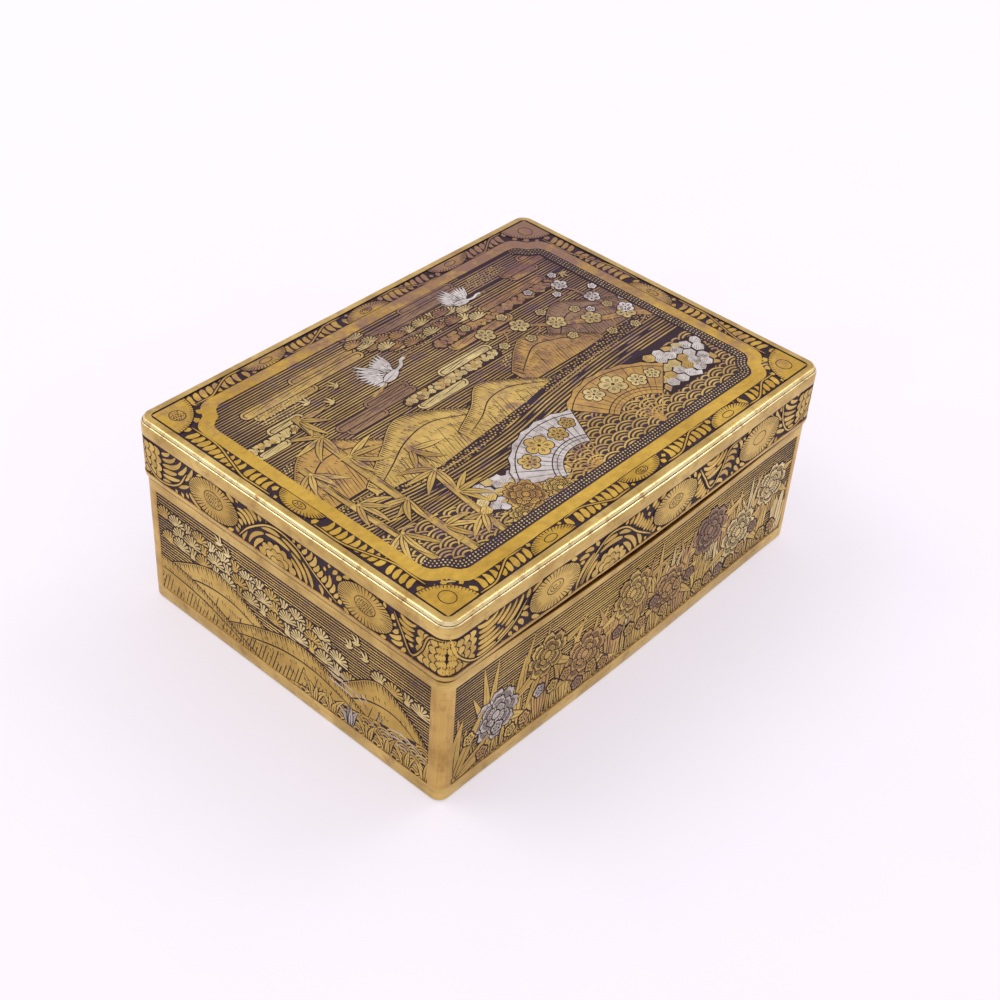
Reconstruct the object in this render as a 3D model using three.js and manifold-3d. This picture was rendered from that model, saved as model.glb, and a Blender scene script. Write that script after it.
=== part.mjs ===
// A small damascened iron box with a hinged lid, gilt inside, in millimetres.
// +Z is up, the front is towards -Y, and the origin is the middle of the base plate's underside.
import * as THREE from "three";
import { mergeVertices } from "three/addons/utils/BufferGeometryUtils.js";
import Module from "manifold-3d";

const wasm = await Module();
wasm.setup();

// Body
const bodyLength = 90;
const bodyWidth = 66.2;
const bodyHeight = 25.3;
const wallThickness = 1.6;
const cornerRadius = 2;
const footRounding = 0.5;
const basePlateThickness = 1.0;
const basePlateLedge = 0.6;

// Lid
const seamGap = 0.15;
const lidHeight = 11.4;
const lidBulge = 0.5;
const lidTuckHeight = 1.3;
const lidCornerRadius = 2.7;
const lidEdgeRounding = 1.5;
const lidPlateThickness = 1.2;
const lidPlateInset = 1.95;
const lidPlateCornerRadius = 0.8;
const lidPlateGap = 0.2;

// Gilt linings and the lip that locates the lid
const liningThickness = 0.6;
const liningGap = 0.1;
const lipHeight = 2.2;
const lipClearance = 0.25;
const lipHeadroom = 0.4;

// Finger opening between lid and body at the front
const fingerChord = 80;
const fingerDip = 0.8;
const fingerArch = 0.3;

// Hinge along the back seam
const knuckleCount = 5;
const hingeMargin = 12.2;
const knuckleGap = 0.15;
const knuckleRadius = 0.8;
const pinRadius = 0.36;
const pinClearance = 0.06;
const channelGap = 0.15;

// Sunk grounds that hold the inlay, and their places on the body and the lid
const groundDepth = 0.15;
const foilThickness = 0.12;
const frontPanelMargin = 2.3;
const endPanelMargin = 2.7;
const panelTopMargin = 2;
const panelFootMargin = 2.7;
const panelCornerRadius = 0.4;
const bandFootMargin = 1.2;
const bandHeight = 7.4;

// Plain gold frame on the lid's top, with a cusp in each corner
const frameInset = 4.7;
const frameWidth = 2.2;
const frameLobe = 6.5;
const frameCusp = 2.8;
const innerLobe = 5.2;
const innerCusp = 2.35;

// Chrysanthemum foils, whose places along a side are shares of that side's length from its middle
const cornerFlowerRadius = 6.4;
const flowerMargin = 0.2;
const borderFlowerHalfWidth = 4.7;
const borderFlowerPlaces = [-0.229, 0.013, 0.248];
const sideFlowerHalfWidth = 5.6;
const sideFlowerHalfHeight = 3.5;
const longSideFlowerPlaces = [-0.25, 0.063, 0.314];
const endSideFlowerPlaces = [-0.228, 0.259];

// Worked out from the sizes above
const lidLength = bodyLength + 2 * lidBulge;
const lidWidth = bodyWidth + 2 * lidBulge;
const lidBottom = bodyHeight + seamGap;
const lidTop = lidBottom + lidHeight;
const hingeHeight = bodyHeight + seamGap / 2;
const hingeY = bodyWidth / 2;
const hingeLength = bodyLength - 2 * hingeMargin;
const knuckleLength = (hingeLength - (knuckleCount - 1) * knuckleGap) / knuckleCount;
const liningInset = wallThickness + liningGap;
const lidInnerInset = liningInset - lipClearance;
const groundTop = lidTop - groundDepth;
const bandBottom = lidBottom + bandFootMargin;

// Smoothness of curved faces
const cornerSteps = 4;
const edgeSteps = 5;
const roundSteps = 12;
const lobeSteps = 8;

const finishes = {
  giltIron: { color: 0xc9a23f, roughness: 0.38, metalness: 0.9 },
  darkIron: { color: 0x2c2126, roughness: 0.6, metalness: 0.7 },
  gold: { color: 0xd4ac30, roughness: 0.3, metalness: 1 },
  giltLining: { color: 0xb9852f, roughness: 0.32, metalness: 1 },
  steel: { color: 0x6e6258, roughness: 0.4, metalness: 0.9 },
};

// A closed three.js geometry as a solid that can be cut and joined.
function toSolid(geometry) {
  geometry.deleteAttribute("normal");
  geometry.deleteAttribute("uv");
  const merged = mergeVertices(geometry);
  return new wasm.Manifold(
    new wasm.Mesh({
      numProp: 3,
      vertProperties: merged.attributes.position.array,
      triVerts: new Uint32Array(merged.index.array),
    }),
  );
}

// A named mesh of a solid in one of the finishes.
function toMesh(name, solid, finish) {
  const cut = solid.getMesh();
  const geometry = new THREE.BufferGeometry();
  geometry.setAttribute("position", new THREE.BufferAttribute(cut.vertProperties, 3));
  geometry.setIndex(new THREE.BufferAttribute(cut.triVerts, 1));
  geometry.computeVertexNormals();
  const mesh = new THREE.Mesh(geometry, new THREE.MeshStandardMaterial(finishes[finish]));
  mesh.name = name;
  return mesh;
}

// A rectangle with rounded corners, centred on the axis.
function roundedRectangle(length, width, radius) {
  const x = length / 2;
  const y = width / 2;
  const r = Math.max(Math.min(radius, x, y), 0.01);
  const quarter = Math.PI / 2;
  const shape = new THREE.Shape();
  shape.absarc(x - r, y - r, r, 0, quarter);
  shape.absarc(r - x, y - r, r, quarter, 2 * quarter);
  shape.absarc(r - x, r - y, r, 2 * quarter, 3 * quarter);
  shape.absarc(x - r, r - y, r, 3 * quarter, 4 * quarter);
  return shape;
}

// A shape raised from one height to another.
function slab(shape, from, to) {
  const settings = { depth: to - from, bevelEnabled: false, curveSegments: cornerSteps };
  return toSolid(new THREE.ExtrudeGeometry(shape, settings).translate(0, 0, from));
}

// A slab whose two ends are drawn in along a quarter ellipse, inwards by draw over a height of rise.
function roundedSlab(shape, from, to, draw, rise) {
  const settings = {
    depth: to - from - 2 * rise,
    bevelThickness: rise,
    bevelSize: draw,
    bevelOffset: -draw,
    bevelSegments: edgeSteps,
    curveSegments: cornerSteps,
  };
  return toSolid(new THREE.ExtrudeGeometry(shape, settings).translate(0, 0, from + rise));
}

// The body's outline drawn in by inset, for walls, linings and plates.
function bodyOutline(inset) {
  return roundedRectangle(bodyLength - 2 * inset, bodyWidth - 2 * inset, cornerRadius - inset);
}

// The lid's outline drawn in by inset.
function lidOutline(inset) {
  return roundedRectangle(lidLength - 2 * inset, lidWidth - 2 * inset, lidCornerRadius - inset);
}

// A shape in the XZ plane carried through from one y to another.
function acrossY(shape, from, to, curveSegments = roundSteps) {
  const settings = { depth: to - from, bevelEnabled: false, curveSegments };
  return toSolid(new THREE.ExtrudeGeometry(shape, settings).rotateX(Math.PI / 2).translate(0, to, 0));
}

// A shape in the YZ plane carried through from one x to another.
function acrossX(shape, from, to) {
  const settings = { depth: to - from, bevelEnabled: false, curveSegments: roundSteps };
  const geometry = new THREE.ExtrudeGeometry(shape, settings);
  return toSolid(geometry.rotateX(Math.PI / 2).rotateZ(Math.PI / 2).translate(from, 0, 0));
}

// The space of the finger opening on one side of the seam: a flat arc of the given rise, up or down.
function fingerSpace(level, rise, direction) {
  const half = fingerChord / 2;
  const radius = (half * half + rise * rise) / (2 * rise);
  const sweep = Math.asin(half / radius);
  const shape = new THREE.Shape();
  const centre = level + direction * (rise - radius);
  const crown = (direction * Math.PI) / 2;
  shape.absarc(0, centre, radius, crown + direction * -sweep, crown + direction * sweep, direction < 0);
  shape.lineTo(-half, level - direction * seamGap);
  shape.lineTo(half, level - direction * seamGap);
  return acrossY(shape, -lidWidth / 2 - lidBulge, -bodyWidth / 2 + liningInset);
}

// The round channel that the knuckles lie in, cut half from the body and half from the lid.
function hingeChannel() {
  const circle = new THREE.Shape().absarc(0, 0, knuckleRadius + channelGap, 0, 2 * Math.PI);
  const half = hingeLength / 2 + knuckleGap;
  return acrossX(circle, -half, half).translate(0, hingeY, hingeHeight);
}

// The four side walls in one ring, with a rebate for the base plate and a sunk panel on each face.
function bodyWalls() {
  const outer = roundedSlab(bodyOutline(0), 0, 2 * bodyHeight, footRounding, footRounding);
  const trim = slab(bodyOutline(-wallThickness), bodyHeight, 3 * bodyHeight);
  const inside = slab(bodyOutline(wallThickness), -bodyHeight, 2 * bodyHeight);
  const rebate = slab(bodyOutline(wallThickness - basePlateLedge), -bodyHeight, basePlateThickness);
  let walls = outer.subtract(trim).subtract(inside).subtract(rebate);
  for (const pocket of panelPockets()) walls = walls.subtract(pocket);
  return walls.subtract(hingeChannel()).subtract(fingerSpace(bodyHeight, fingerDip, -1));
}

// The shallow pockets of the four body panels.
function panelPockets() {
  const top = bodyHeight - panelTopMargin;
  const height = top - panelFootMargin;
  const middle = panelFootMargin + height / 2;
  const longPanel = bodyLength - 2 * frontPanelMargin;
  const endPanel = bodyWidth - 2 * endPanelMargin;
  const faces = [
    { panel: longPanel, distance: bodyWidth / 2, quarterTurns: 0 },
    { panel: endPanel, distance: bodyLength / 2, quarterTurns: 1 },
    { panel: longPanel, distance: bodyWidth / 2, quarterTurns: 2 },
    { panel: endPanel, distance: bodyLength / 2, quarterTurns: 3 },
  ];
  return faces.map(({ panel, distance, quarterTurns }) => {
    const shape = roundedRectangle(panel, height, panelCornerRadius);
    const pocket = acrossY(shape, -distance - groundDepth, -distance + groundDepth, cornerSteps);
    return pocket.translate(0, 0, middle).rotate(0, 0, 90 * quarterTurns);
  });
}

// The plate that closes the bottom, let into the walls' rebate.
function basePlate() {
  return slab(bodyOutline(wallThickness - basePlateLedge + liningGap), 0, basePlateThickness);
}

// The gilt tray inside the body, whose walls stand up past the seam as a lip.
function bodyLining() {
  const tray = slab(bodyOutline(liningInset), basePlateThickness, bodyHeight + lipHeight);
  const floor = basePlateThickness + liningThickness;
  const hollow = slab(bodyOutline(liningInset + liningThickness), floor, lidTop);
  return tray.subtract(hollow);
}

// The lid's sides and rounded top edge in one ring, with a seat for the top plate.
function lidRim() {
  const spare = lidHeight;
  const tucked = roundedSlab(lidOutline(0), lidBottom, lidTop + spare, lidBulge, lidTuckHeight);
  const crowned = roundedSlab(lidOutline(0), lidBottom - spare, lidTop, lidEdgeRounding, lidEdgeRounding);
  const inside = slab(bodyOutline(lidInnerInset), lidBottom - spare, lidTop + spare);
  const seat = slab(lidPlateOutline(lidPlateGap), groundTop - lidPlateThickness, lidTop + spare);
  const groundBand = slab(lidOutline(-lidBulge), bandBottom, bandBottom + bandHeight);
  const bandCore = slab(lidOutline(groundDepth), bandBottom - spare, lidTop + spare);
  const rim = tucked.intersect(crowned).subtract(inside).subtract(seat);
  const sunk = rim.subtract(groundBand.subtract(bandCore));
  return sunk.subtract(hingeChannel()).subtract(fingerSpace(lidBottom, fingerArch, 1));
}

// The outline of the lid's top plate, grown by a gap.
function lidPlateOutline(gap) {
  const inset = lidPlateInset - gap;
  return roundedRectangle(lidLength - 2 * inset, lidWidth - 2 * inset, lidPlateCornerRadius + gap);
}

// The iron plate that carries the lid's picture, seated on the rim's ledge.
function lidPlate() {
  return slab(lidPlateOutline(0), groundTop - lidPlateThickness, groundTop);
}

// The gilt pan inside the lid, which ends above the lip.
function lidLining() {
  const top = groundTop - lidPlateThickness;
  const outline = bodyOutline(lidInnerInset + liningGap);
  const pan = slab(outline, bodyHeight + lipHeight + lipHeadroom, top);
  const hollow = slab(bodyOutline(liningInset + liningThickness), bodyHeight, top - liningThickness);
  return pan.subtract(hollow);
}

// One hinge knuckle, a short tube on the hinge axis, by its place along the row.
function knuckle(place) {
  const start = place * (knuckleLength + knuckleGap) - hingeLength / 2;
  const tube = new THREE.Shape().absarc(0, 0, knuckleRadius, 0, 2 * Math.PI);
  const bore = new THREE.Path().absarc(0, 0, pinRadius + pinClearance, 0, 2 * Math.PI, true);
  tube.holes.push(bore);
  return acrossX(tube, start, start + knuckleLength).translate(0, hingeY, hingeHeight);
}

// The pin through all the knuckles, with domed ends.
function hingePin() {
  const half = hingeLength / 2;
  const shank = half - pinRadius / 2;
  const profile = [
    new THREE.Vector2(0, -half),
    new THREE.Vector2(pinRadius * 0.7, -half + pinRadius * 0.15),
    new THREE.Vector2(pinRadius, -shank),
    new THREE.Vector2(pinRadius, shank),
    new THREE.Vector2(pinRadius * 0.7, half - pinRadius * 0.15),
    new THREE.Vector2(0, half),
  ];
  const geometry = new THREE.LatheGeometry(profile, 2 * roundSteps).rotateZ(-Math.PI / 2);
  return toSolid(geometry).translate(0, hingeY, hingeHeight);
}

// A rectangular outline whose corners are drawn in to a cusp between two lobes.
function cuspedOutline(halfLength, halfWidth, lobe, cusp) {
  const tip = new THREE.Vector2(halfLength - cusp, halfWidth - cusp);
  const away = new THREE.Vector2(cusp * 0.42, -cusp * 0.26);
  const first = new THREE.CubicBezierCurve(
    new THREE.Vector2(halfLength, halfWidth - lobe),
    new THREE.Vector2(halfLength, halfWidth - lobe + (lobe - cusp) * 0.7),
    tip.clone().add(away),
    tip,
  );
  const lobeOne = first.getPoints(lobeSteps);
  const lobeTwo = lobeOne
    .slice(0, -1)
    .reverse()
    .map((p) => new THREE.Vector2(p.y - halfWidth + halfLength, p.x - halfLength + halfWidth));
  const corner = [...lobeOne, ...lobeTwo];
  const signs = [
    [1, 1],
    [-1, 1],
    [-1, -1],
    [1, -1],
  ];
  const outline = signs.flatMap(([sx, sy]) => {
    const turned = corner.map((p) => new THREE.Vector2(p.x * sx, p.y * sy));
    return sx * sy > 0 ? turned : turned.reverse();
  });
  return new THREE.Shape(outline);
}

// The plain gold frame round the lid's picture.
function goldFrame() {
  const x = lidLength / 2 - frameInset;
  const y = lidWidth / 2 - frameInset;
  const shape = cuspedOutline(x, y, frameLobe, frameCusp);
  const opening = cuspedOutline(x - frameWidth, y - frameWidth, innerLobe, innerCusp);
  shape.holes.push(opening);
  return slab(shape, groundTop, groundTop + foilThickness);
}

// A quarter of a chrysanthemum in a corner of the lid's top; sx and sy say which corner.
function cornerFlower(sx, sy) {
  const x = lidLength / 2 - lidPlateInset - flowerMargin;
  const y = lidWidth / 2 - lidPlateInset - flowerMargin;
  const turn = Math.atan2(-sy, -sx) - Math.PI / 4;
  const shape = new THREE.Shape().absarc(sx * x, sy * y, cornerFlowerRadius, turn, turn + Math.PI / 2);
  shape.lineTo(sx * x, sy * y);
  return slab(shape, groundTop, groundTop + foilThickness);
}

// Half a chrysanthemum in the lid's border, on the border's outer edge or its inner one.
function borderFlower(along, sideDistance, quarterTurns, fromInside) {
  const outer = sideDistance - lidPlateInset - flowerMargin;
  const inner = sideDistance - frameInset + flowerMargin;
  const base = fromInside ? -inner : -outer;
  const rise = outer - inner;
  const shape = new THREE.Shape();
  const start = fromInside ? Math.PI : 0;
  shape.absellipse(along, base, borderFlowerHalfWidth, rise, start, start + Math.PI);
  return slab(shape, groundTop, groundTop + foilThickness).rotate(0, 0, 90 * quarterTurns);
}

// A whole chrysanthemum on one of the lid's sides, clipped by its ground band.
function sideFlower(along, sideDistance, quarterTurns) {
  const shape = new THREE.Shape();
  const middle = bandBottom + bandHeight / 2;
  shape.absellipse(along, middle, sideFlowerHalfWidth, sideFlowerHalfHeight, 0, 2 * Math.PI);
  const back = groundDepth - sideDistance;
  return acrossY(shape, back - foilThickness, back).rotate(0, 0, 90 * quarterTurns);
}

const box = new THREE.Group();
const body = new THREE.Group();
const lid = new THREE.Group();
box.add(body, lid);

body.add(toMesh("body_walls", bodyWalls(), "giltIron"));
body.add(toMesh("base_plate", basePlate(), "darkIron"));
body.add(toMesh("body_lining", bodyLining(), "giltLining"));
body.add(toMesh("hinge_pin", hingePin(), "steel"));

lid.add(toMesh("lid_rim", lidRim(), "giltIron"));
lid.add(toMesh("lid_plate", lidPlate(), "darkIron"));
lid.add(toMesh("lid_lining", lidLining(), "giltLining"));
lid.add(toMesh("lid_frame_foil", goldFrame(), "gold"));

for (let place = 0; place < knuckleCount; place += 1) {
  const [owner, side] = place % 2 === 0 ? [body, "body"] : [lid, "lid"];
  owner.add(toMesh(`hinge_knuckle_${side}_${place + 1}`, knuckle(place), "steel"));
}

const corners = { front_left: [-1, -1], front_right: [1, -1], back_right: [1, 1], back_left: [-1, 1] };
for (const [place, [sx, sy]] of Object.entries(corners)) {
  lid.add(toMesh(`corner_flower_${place}`, cornerFlower(sx, sy), "gold"));
}

const longSide = {
  length: lidLength,
  distance: lidWidth / 2,
  places: longSideFlowerPlaces,
  borderPlaces: borderFlowerPlaces,
};
const endSide = {
  length: lidWidth,
  distance: lidLength / 2,
  places: endSideFlowerPlaces,
  borderPlaces: [0],
};
const facingBack = borderFlowerPlaces.map((share) => -share).reverse();
const sides = [
  { name: "front", quarterTurns: 0, ...longSide },
  { name: "right", quarterTurns: 1, ...endSide },
  { name: "back", quarterTurns: 2, ...longSide, borderPlaces: facingBack },
  { name: "left", quarterTurns: 3, ...endSide },
];
for (const side of sides) {
  side.borderPlaces.forEach((share, index) => {
    const isMiddle = 2 * index + 1 === side.borderPlaces.length;
    const flower = borderFlower(share * side.length, side.distance, side.quarterTurns, isMiddle);
    lid.add(toMesh(`border_flower_${side.name}_${index + 1}`, flower, "gold"));
  });
  side.places.forEach((share, index) => {
    const flower = sideFlower(share * side.length, side.distance, side.quarterTurns);
    lid.add(toMesh(`side_flower_${side.name}_${index + 1}`, flower, "gold"));
  });
}

export default box;
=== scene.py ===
"""The looks of a small damascened iron box: gilt iron, inlaid foil and engraved ornament round the frame.

Lengths are in millimetres in the frame's own axes, +Z up and the front towards -Y. Meshes are in metres.
"""

import logging
import math
import random
from dataclasses import dataclass, replace
from enum import Enum
from typing import Callable, Optional, Protocol, Sequence

import bpy
import numpy as np
from mathutils import Matrix, Vector, noise
from mathutils.geometry import delaunay_2d_cdt


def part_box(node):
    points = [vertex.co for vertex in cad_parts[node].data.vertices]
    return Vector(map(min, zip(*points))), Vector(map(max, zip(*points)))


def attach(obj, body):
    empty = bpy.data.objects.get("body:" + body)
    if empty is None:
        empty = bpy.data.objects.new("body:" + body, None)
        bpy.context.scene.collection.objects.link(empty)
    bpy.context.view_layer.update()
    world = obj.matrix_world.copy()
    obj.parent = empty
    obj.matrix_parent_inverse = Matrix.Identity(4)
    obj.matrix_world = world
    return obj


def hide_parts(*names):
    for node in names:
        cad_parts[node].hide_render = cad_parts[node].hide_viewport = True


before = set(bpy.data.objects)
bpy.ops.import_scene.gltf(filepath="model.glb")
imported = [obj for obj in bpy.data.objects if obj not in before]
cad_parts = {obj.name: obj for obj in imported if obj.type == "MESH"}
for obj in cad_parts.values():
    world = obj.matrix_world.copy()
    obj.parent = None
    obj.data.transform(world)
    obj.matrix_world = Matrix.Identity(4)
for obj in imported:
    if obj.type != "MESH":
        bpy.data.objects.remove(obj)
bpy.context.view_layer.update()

Path = np.ndarray
Point = tuple[float, float]
Colour = tuple[float, float, float]
Face = Sequence[int]
Socket = bpy.types.NodeSocket
Inputs = dict[str | int, object]

MILLIMETRE = 0.001

# The box's few sizes that the frame doesn't say.
BODY_RADIUS = 2.0
LID_RADIUS = 2.7
PLATE_RADIUS = 0.8
FRONT_BOW = 0.5

# How foil lies on the ground: the slant and the foot of its edge, the heights of its tiers, and the
# hair's lift that tells one piece from the next, with the number of steps before it starts again.
SLANT = 0.03
SUNK = -0.03
TIER = 0.004
FIRST_TIER = 0.02
HAIR = 0.0001
HAIRS = 13

# How many tiers an engraved mark lies over its foil, and the tier of the chrysanthemums.
MARK = 0.4
FLOWER_TIER = 23

# The pictures: the distance between a stalk's joints, the width of a wave's line, a fan's fold in degrees.
BAMBOO_JOINT = 6.0
WAVE_LINE = 0.34
FAN_FOLD = 6.5

log = logging.getLogger("damascene_box")


class Finish(Enum):
    """The finishes that the box shows."""

    GILT = "gilt"
    PILLAR = "pillar"
    # Paler gilt on the crown's crests: partly wear, partly a painted highlight.
    RUBBED = "rubbed"
    # Painted shade: dark brown gilt for the seam edges, the foot and the panels' steps.
    WORN = "worn"
    GOLD = "gold"
    SIDE_GOLD = "side_gold"
    OLD_GOLD = "old_gold"
    RED_GOLD = "red_gold"
    PALE_GOLD = "pale_gold"
    SILVER = "silver"
    SIDE_SILVER = "side_silver"
    COPPER = "copper"
    GROUND = "ground"
    ENGRAVED = "engraved"
    LINING = "lining"
    HINGE = "hinge"


class Slot(Enum):
    """The record's material slots."""

    GILT_IRON = "gilt_iron"
    DARK_IRON = "dark_iron"
    GOLD = "gold"
    GILT_LINING = "gilt_lining"
    HINGE_METAL = "hinge_metal"


class Body(Enum):
    """The frame's bodies."""

    BODY = "body"
    LID = "lid"


class Taper(Enum):
    """How a strand's width runs from its start to its end."""

    NONE = "none"
    CRESCENT = "crescent"
    TIP = "tip"
    LEAF = "leaf"
    SOFT = "soft"

    def shape(self, share: np.ndarray) -> np.ndarray:
        """Widths at the given shares of the length, as shares of the full width.

        Args:
            share: Places along the strand from 0 to 1.

        Returns:
            One width for each place.
        """
        if self is Taper.CRESCENT:
            return 0.1 + 0.9 * np.sin(np.pi * share**0.78) ** 0.56
        if self is Taper.TIP:
            return 0.12 + 0.88 * (1 - share) ** 0.8
        if self is Taper.LEAF:
            return 0.08 + 0.92 * np.sin(np.pi * share**0.75) ** 0.9
        if self is Taper.SOFT:
            return np.minimum(1, 0.35 + 6 * np.minimum(share, 1 - share))
        return np.ones_like(share)


class Side(Enum):
    """The four sides, by how many quarter turns they lie from the front."""

    FRONT = 0
    RIGHT = 1
    BACK = 2
    LEFT = 3

    @property
    def along(self) -> np.ndarray:
        """The direction to the right for someone who faces this side from outside."""
        return np.array([(1, 0), (0, 1), (-1, 0), (0, -1)][self.value], float)

    @property
    def outward(self) -> np.ndarray:
        """The direction away from the box."""
        return np.array([(0, -1), (1, 0), (0, 1), (-1, 0)][self.value], float)

    @property
    def is_long(self) -> bool:
        """Whether this is the front or the back."""
        return self in (Side.FRONT, Side.BACK)

    def on_top(self, path: Path, distance: float) -> Path:
        """Turns a path along this side into the top's own x and y.

        Args:
            path: Points as (along the side, inwards from the line at distance).
            distance: From the box's middle to the line that the second number starts from.

        Returns:
            The points as x and y.
        """
        return np.outer(path[:, 0], self.along) + np.outer(distance - path[:, 1], self.outward)


def arc(centre: Point, rx: float, ry: float, start: float, end: float, steps: int = 14) -> Path:
    """Points on a part of an ellipse.

    Args:
        centre: The ellipse's middle.
        rx: Half its width.
        ry: Half its height.
        start: First angle in degrees.
        end: Last angle in degrees.
        steps: How many chords.

    Returns:
        The points, one more than the chords.
    """
    turn = np.radians(np.linspace(start, end, steps + 1))
    return np.column_stack([centre[0] + rx * np.cos(turn), centre[1] + ry * np.sin(turn)])


def smooth(points: Sequence[Point], steps: int = 7) -> Path:
    """A smooth curve through points.

    Args:
        points: Where the curve passes.
        steps: Chords between two of the points.

    Returns:
        The curve's points.
    """
    p = np.array(points, float)
    p = np.vstack([2 * p[0] - p[1], p, 2 * p[-1] - p[-2]])
    t = np.linspace(0, 1, steps, endpoint=False)[:, None]
    parts = []
    for a, b, c, d in zip(p, p[1:], p[2:], p[3:]):
        bend = (2 * a - 5 * b + 4 * c - d) * t**2 + (3 * b - a - 3 * c + d) * t**3
        parts.append(0.5 * (2 * b + (c - a) * t + bend))
    return np.vstack([*parts, p[-2][None]])


def span_of(path: Path) -> float:
    """The length of a path."""
    return float(np.hypot(*np.diff(path, axis=0).T).sum())


def evenly(path: Path, pitch: float) -> Path:
    """A path's points spaced evenly.

    Args:
        path: The path.
        pitch: The wanted distance between points.

    Returns:
        The new points, with the same ends.
    """
    along = np.r_[0, np.cumsum(np.hypot(*np.diff(path, axis=0).T))]
    at = np.linspace(0, along[-1], max(2, int(round(along[-1] / pitch)) + 1))
    return np.column_stack([np.interp(at, along, path[:, k]) for k in (0, 1)])


def normals(path: Path, closed: bool = False) -> Path:
    """Unit vectors to the left of a path, one for each point.

    Args:
        path: The path; a closed one repeats no point.
        closed: Whether the last point joins the first.

    Returns:
        The vectors.
    """
    run = np.roll(path, -1, 0) - np.roll(path, 1, 0) if closed else np.gradient(path, axis=0)
    size = np.maximum(np.hypot(run[:, 0], run[:, 1]), 1e-9)
    return np.column_stack([-run[:, 1], run[:, 0]]) / size[:, None]


def beside(path: Path, distance: float) -> Path:
    """The path moved to its left by a distance."""
    return path + normals(path) * distance


def bow_between(start: Point, end: Point, bulge: float, steps: int = 7) -> Path:
    """A shallow bow from one point to another.

    Args:
        start: First point.
        end: Last point.
        bulge: How far the middle stands to the left, as a share of the chord.
        steps: How many chords.

    Returns:
        The points.
    """
    a, b = np.array(start, float), np.array(end, float)
    t = np.linspace(0, 1, steps + 1)[:, None]
    left = np.array([-(b - a)[1], (b - a)[0]])
    return a + (b - a) * t + left * (4 * bulge * t * (1 - t))


def turned(path: Path, angle: float) -> Path:
    """A path turned about the origin by an angle in degrees."""
    c, s = math.cos(math.radians(angle)), math.sin(math.radians(angle))
    return path @ np.array([(c, s), (-s, c)])


def ray(angle: float, reach: float = 1.0) -> np.ndarray:
    """The step from the origin at an angle in degrees."""
    return np.array([math.cos(math.radians(angle)), math.sin(math.radians(angle))]) * reach


def polar(angles: np.ndarray, reach: np.ndarray | float) -> Path:
    """Points at angles in degrees and distances from the origin."""
    turn = np.radians(angles)
    return np.column_stack([reach * np.cos(turn), reach * np.sin(turn)])


def inside(points: Path, outline: Path) -> np.ndarray:
    """Which points lie inside a closed outline.

    Args:
        points: The points to test.
        outline: The outline, which repeats no point.

    Returns:
        One truth value for each point.
    """
    x, y = points[:, 0][:, None], points[:, 1][:, None]
    x0, y0 = outline.T
    x1, y1 = np.roll(outline, -1, 0).T
    rise = np.where(y1 == y0, 1e-12, y1 - y0)
    crosses = ((y0 > y) != (y1 > y)) & (x < (x1 - x0) * (y - y0) / rise + x0)
    return crosses.sum(1) % 2 == 1


def cut_to_box(outline: Path, low: np.ndarray, high: np.ndarray) -> Path:
    """The part of an outline within an upright box.

    Args:
        outline: The outline, which repeats no point.
        low: The box's lowest corner.
        high: Its highest corner.

    Returns:
        The outline of that part, with no points where nothing is left.
    """
    for axis, sign, limit in ((0, 1, high[0]), (0, -1, -low[0]), (1, 1, high[1]), (1, -1, -low[1])):
        if not len(outline):
            break
        over = outline[:, axis] * sign - limit
        kept = []
        for a, b, p, q in zip(over, np.roll(over, -1), outline, np.roll(outline, -1, 0)):
            if a <= 0:
                kept.append(p)
            if (a < 0) != (b < 0) and a != 0 and b != 0:
                kept.append(p + (q - p) * a / (a - b))
        outline = np.array(kept).reshape(-1, 2)
    return outline


def wound_left(outline: Path) -> Path:
    """The outline with its points running anticlockwise."""
    x, y = outline.T
    return outline if (x * np.roll(y, -1) - np.roll(x, -1) * y).sum() > 0 else outline[::-1]


def stretches(held: np.ndarray) -> list[tuple[int, int]]:
    """Where the runs of true values start and end in a row of truth values."""
    edges = np.flatnonzero(np.diff(np.r_[False, held, False].astype(int)))
    return list(zip(edges[::2], edges[1::2]))


def tube_faces(count: int, rings: int, closed: bool = True) -> list[Face]:
    """The faces between rows of points, the last row joined to the first.

    Args:
        count: Points in a row.
        rings: How many rows.
        closed: Whether each row joins up with itself.

    Returns:
        The faces, row by row.
    """
    faces: list[Face] = []
    steps = range(count if closed else count - 1)
    for j in range(rings):
        a, b = j * count, (j + 1) % rings * count
        faces.extend((a + i, a + (i + 1) % count, b + (i + 1) % count, b + i) for i in steps)
    return faces


def box_of(node: str) -> tuple[np.ndarray, np.ndarray]:
    """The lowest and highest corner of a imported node, in millimetres."""
    low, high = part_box(node)
    return np.array(low) / MILLIMETRE, np.array(high) / MILLIMETRE


def place_along(node: str, side: Side) -> float:
    """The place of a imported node's middle along a side."""
    low, high = box_of(node)
    return float((low + high)[:2] @ side.along) / 2


@dataclass(frozen=True)
class Outline:
    """A rounded rectangle seen from above, with a front that bows out a little.

    Args:
        half_x: Half its length.
        half_y: Half its width.
        radius: The corners' radius.
        bow: How far the middle of the front stands out.
    """

    half_x: float
    half_y: float
    radius: float
    bow: float = 0.0

    def half(self, side: Side) -> float:
        """Half the length of a side."""
        return self.half_x if side.is_long else self.half_y

    def distance(self, side: Side) -> float:
        """From the middle of the box to a side."""
        return self.half_y if side.is_long else self.half_x

    def straight(self, side: Side) -> float:
        """Half the straight part of a side."""
        return self.half(side) - self.radius

    def bulge(self, side: Side, along: np.ndarray) -> np.ndarray:
        """How far a side stands out.

        Args:
            side: The side; only the front bows.
            along: Places along it.

        Returns:
            One distance for each place.
        """
        if side is not Side.FRONT:
            return np.zeros_like(along)
        share = np.clip(np.abs(along) / self.straight(side), 0, 1)
        return self.bow * np.cos(share * math.pi / 2) ** 2

    def grown(self, by: float) -> "Outline":
        """The same outline moved outwards."""
        return Outline(self.half_x + by, self.half_y + by, max(self.radius + by, 0.05), self.bow)


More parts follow.
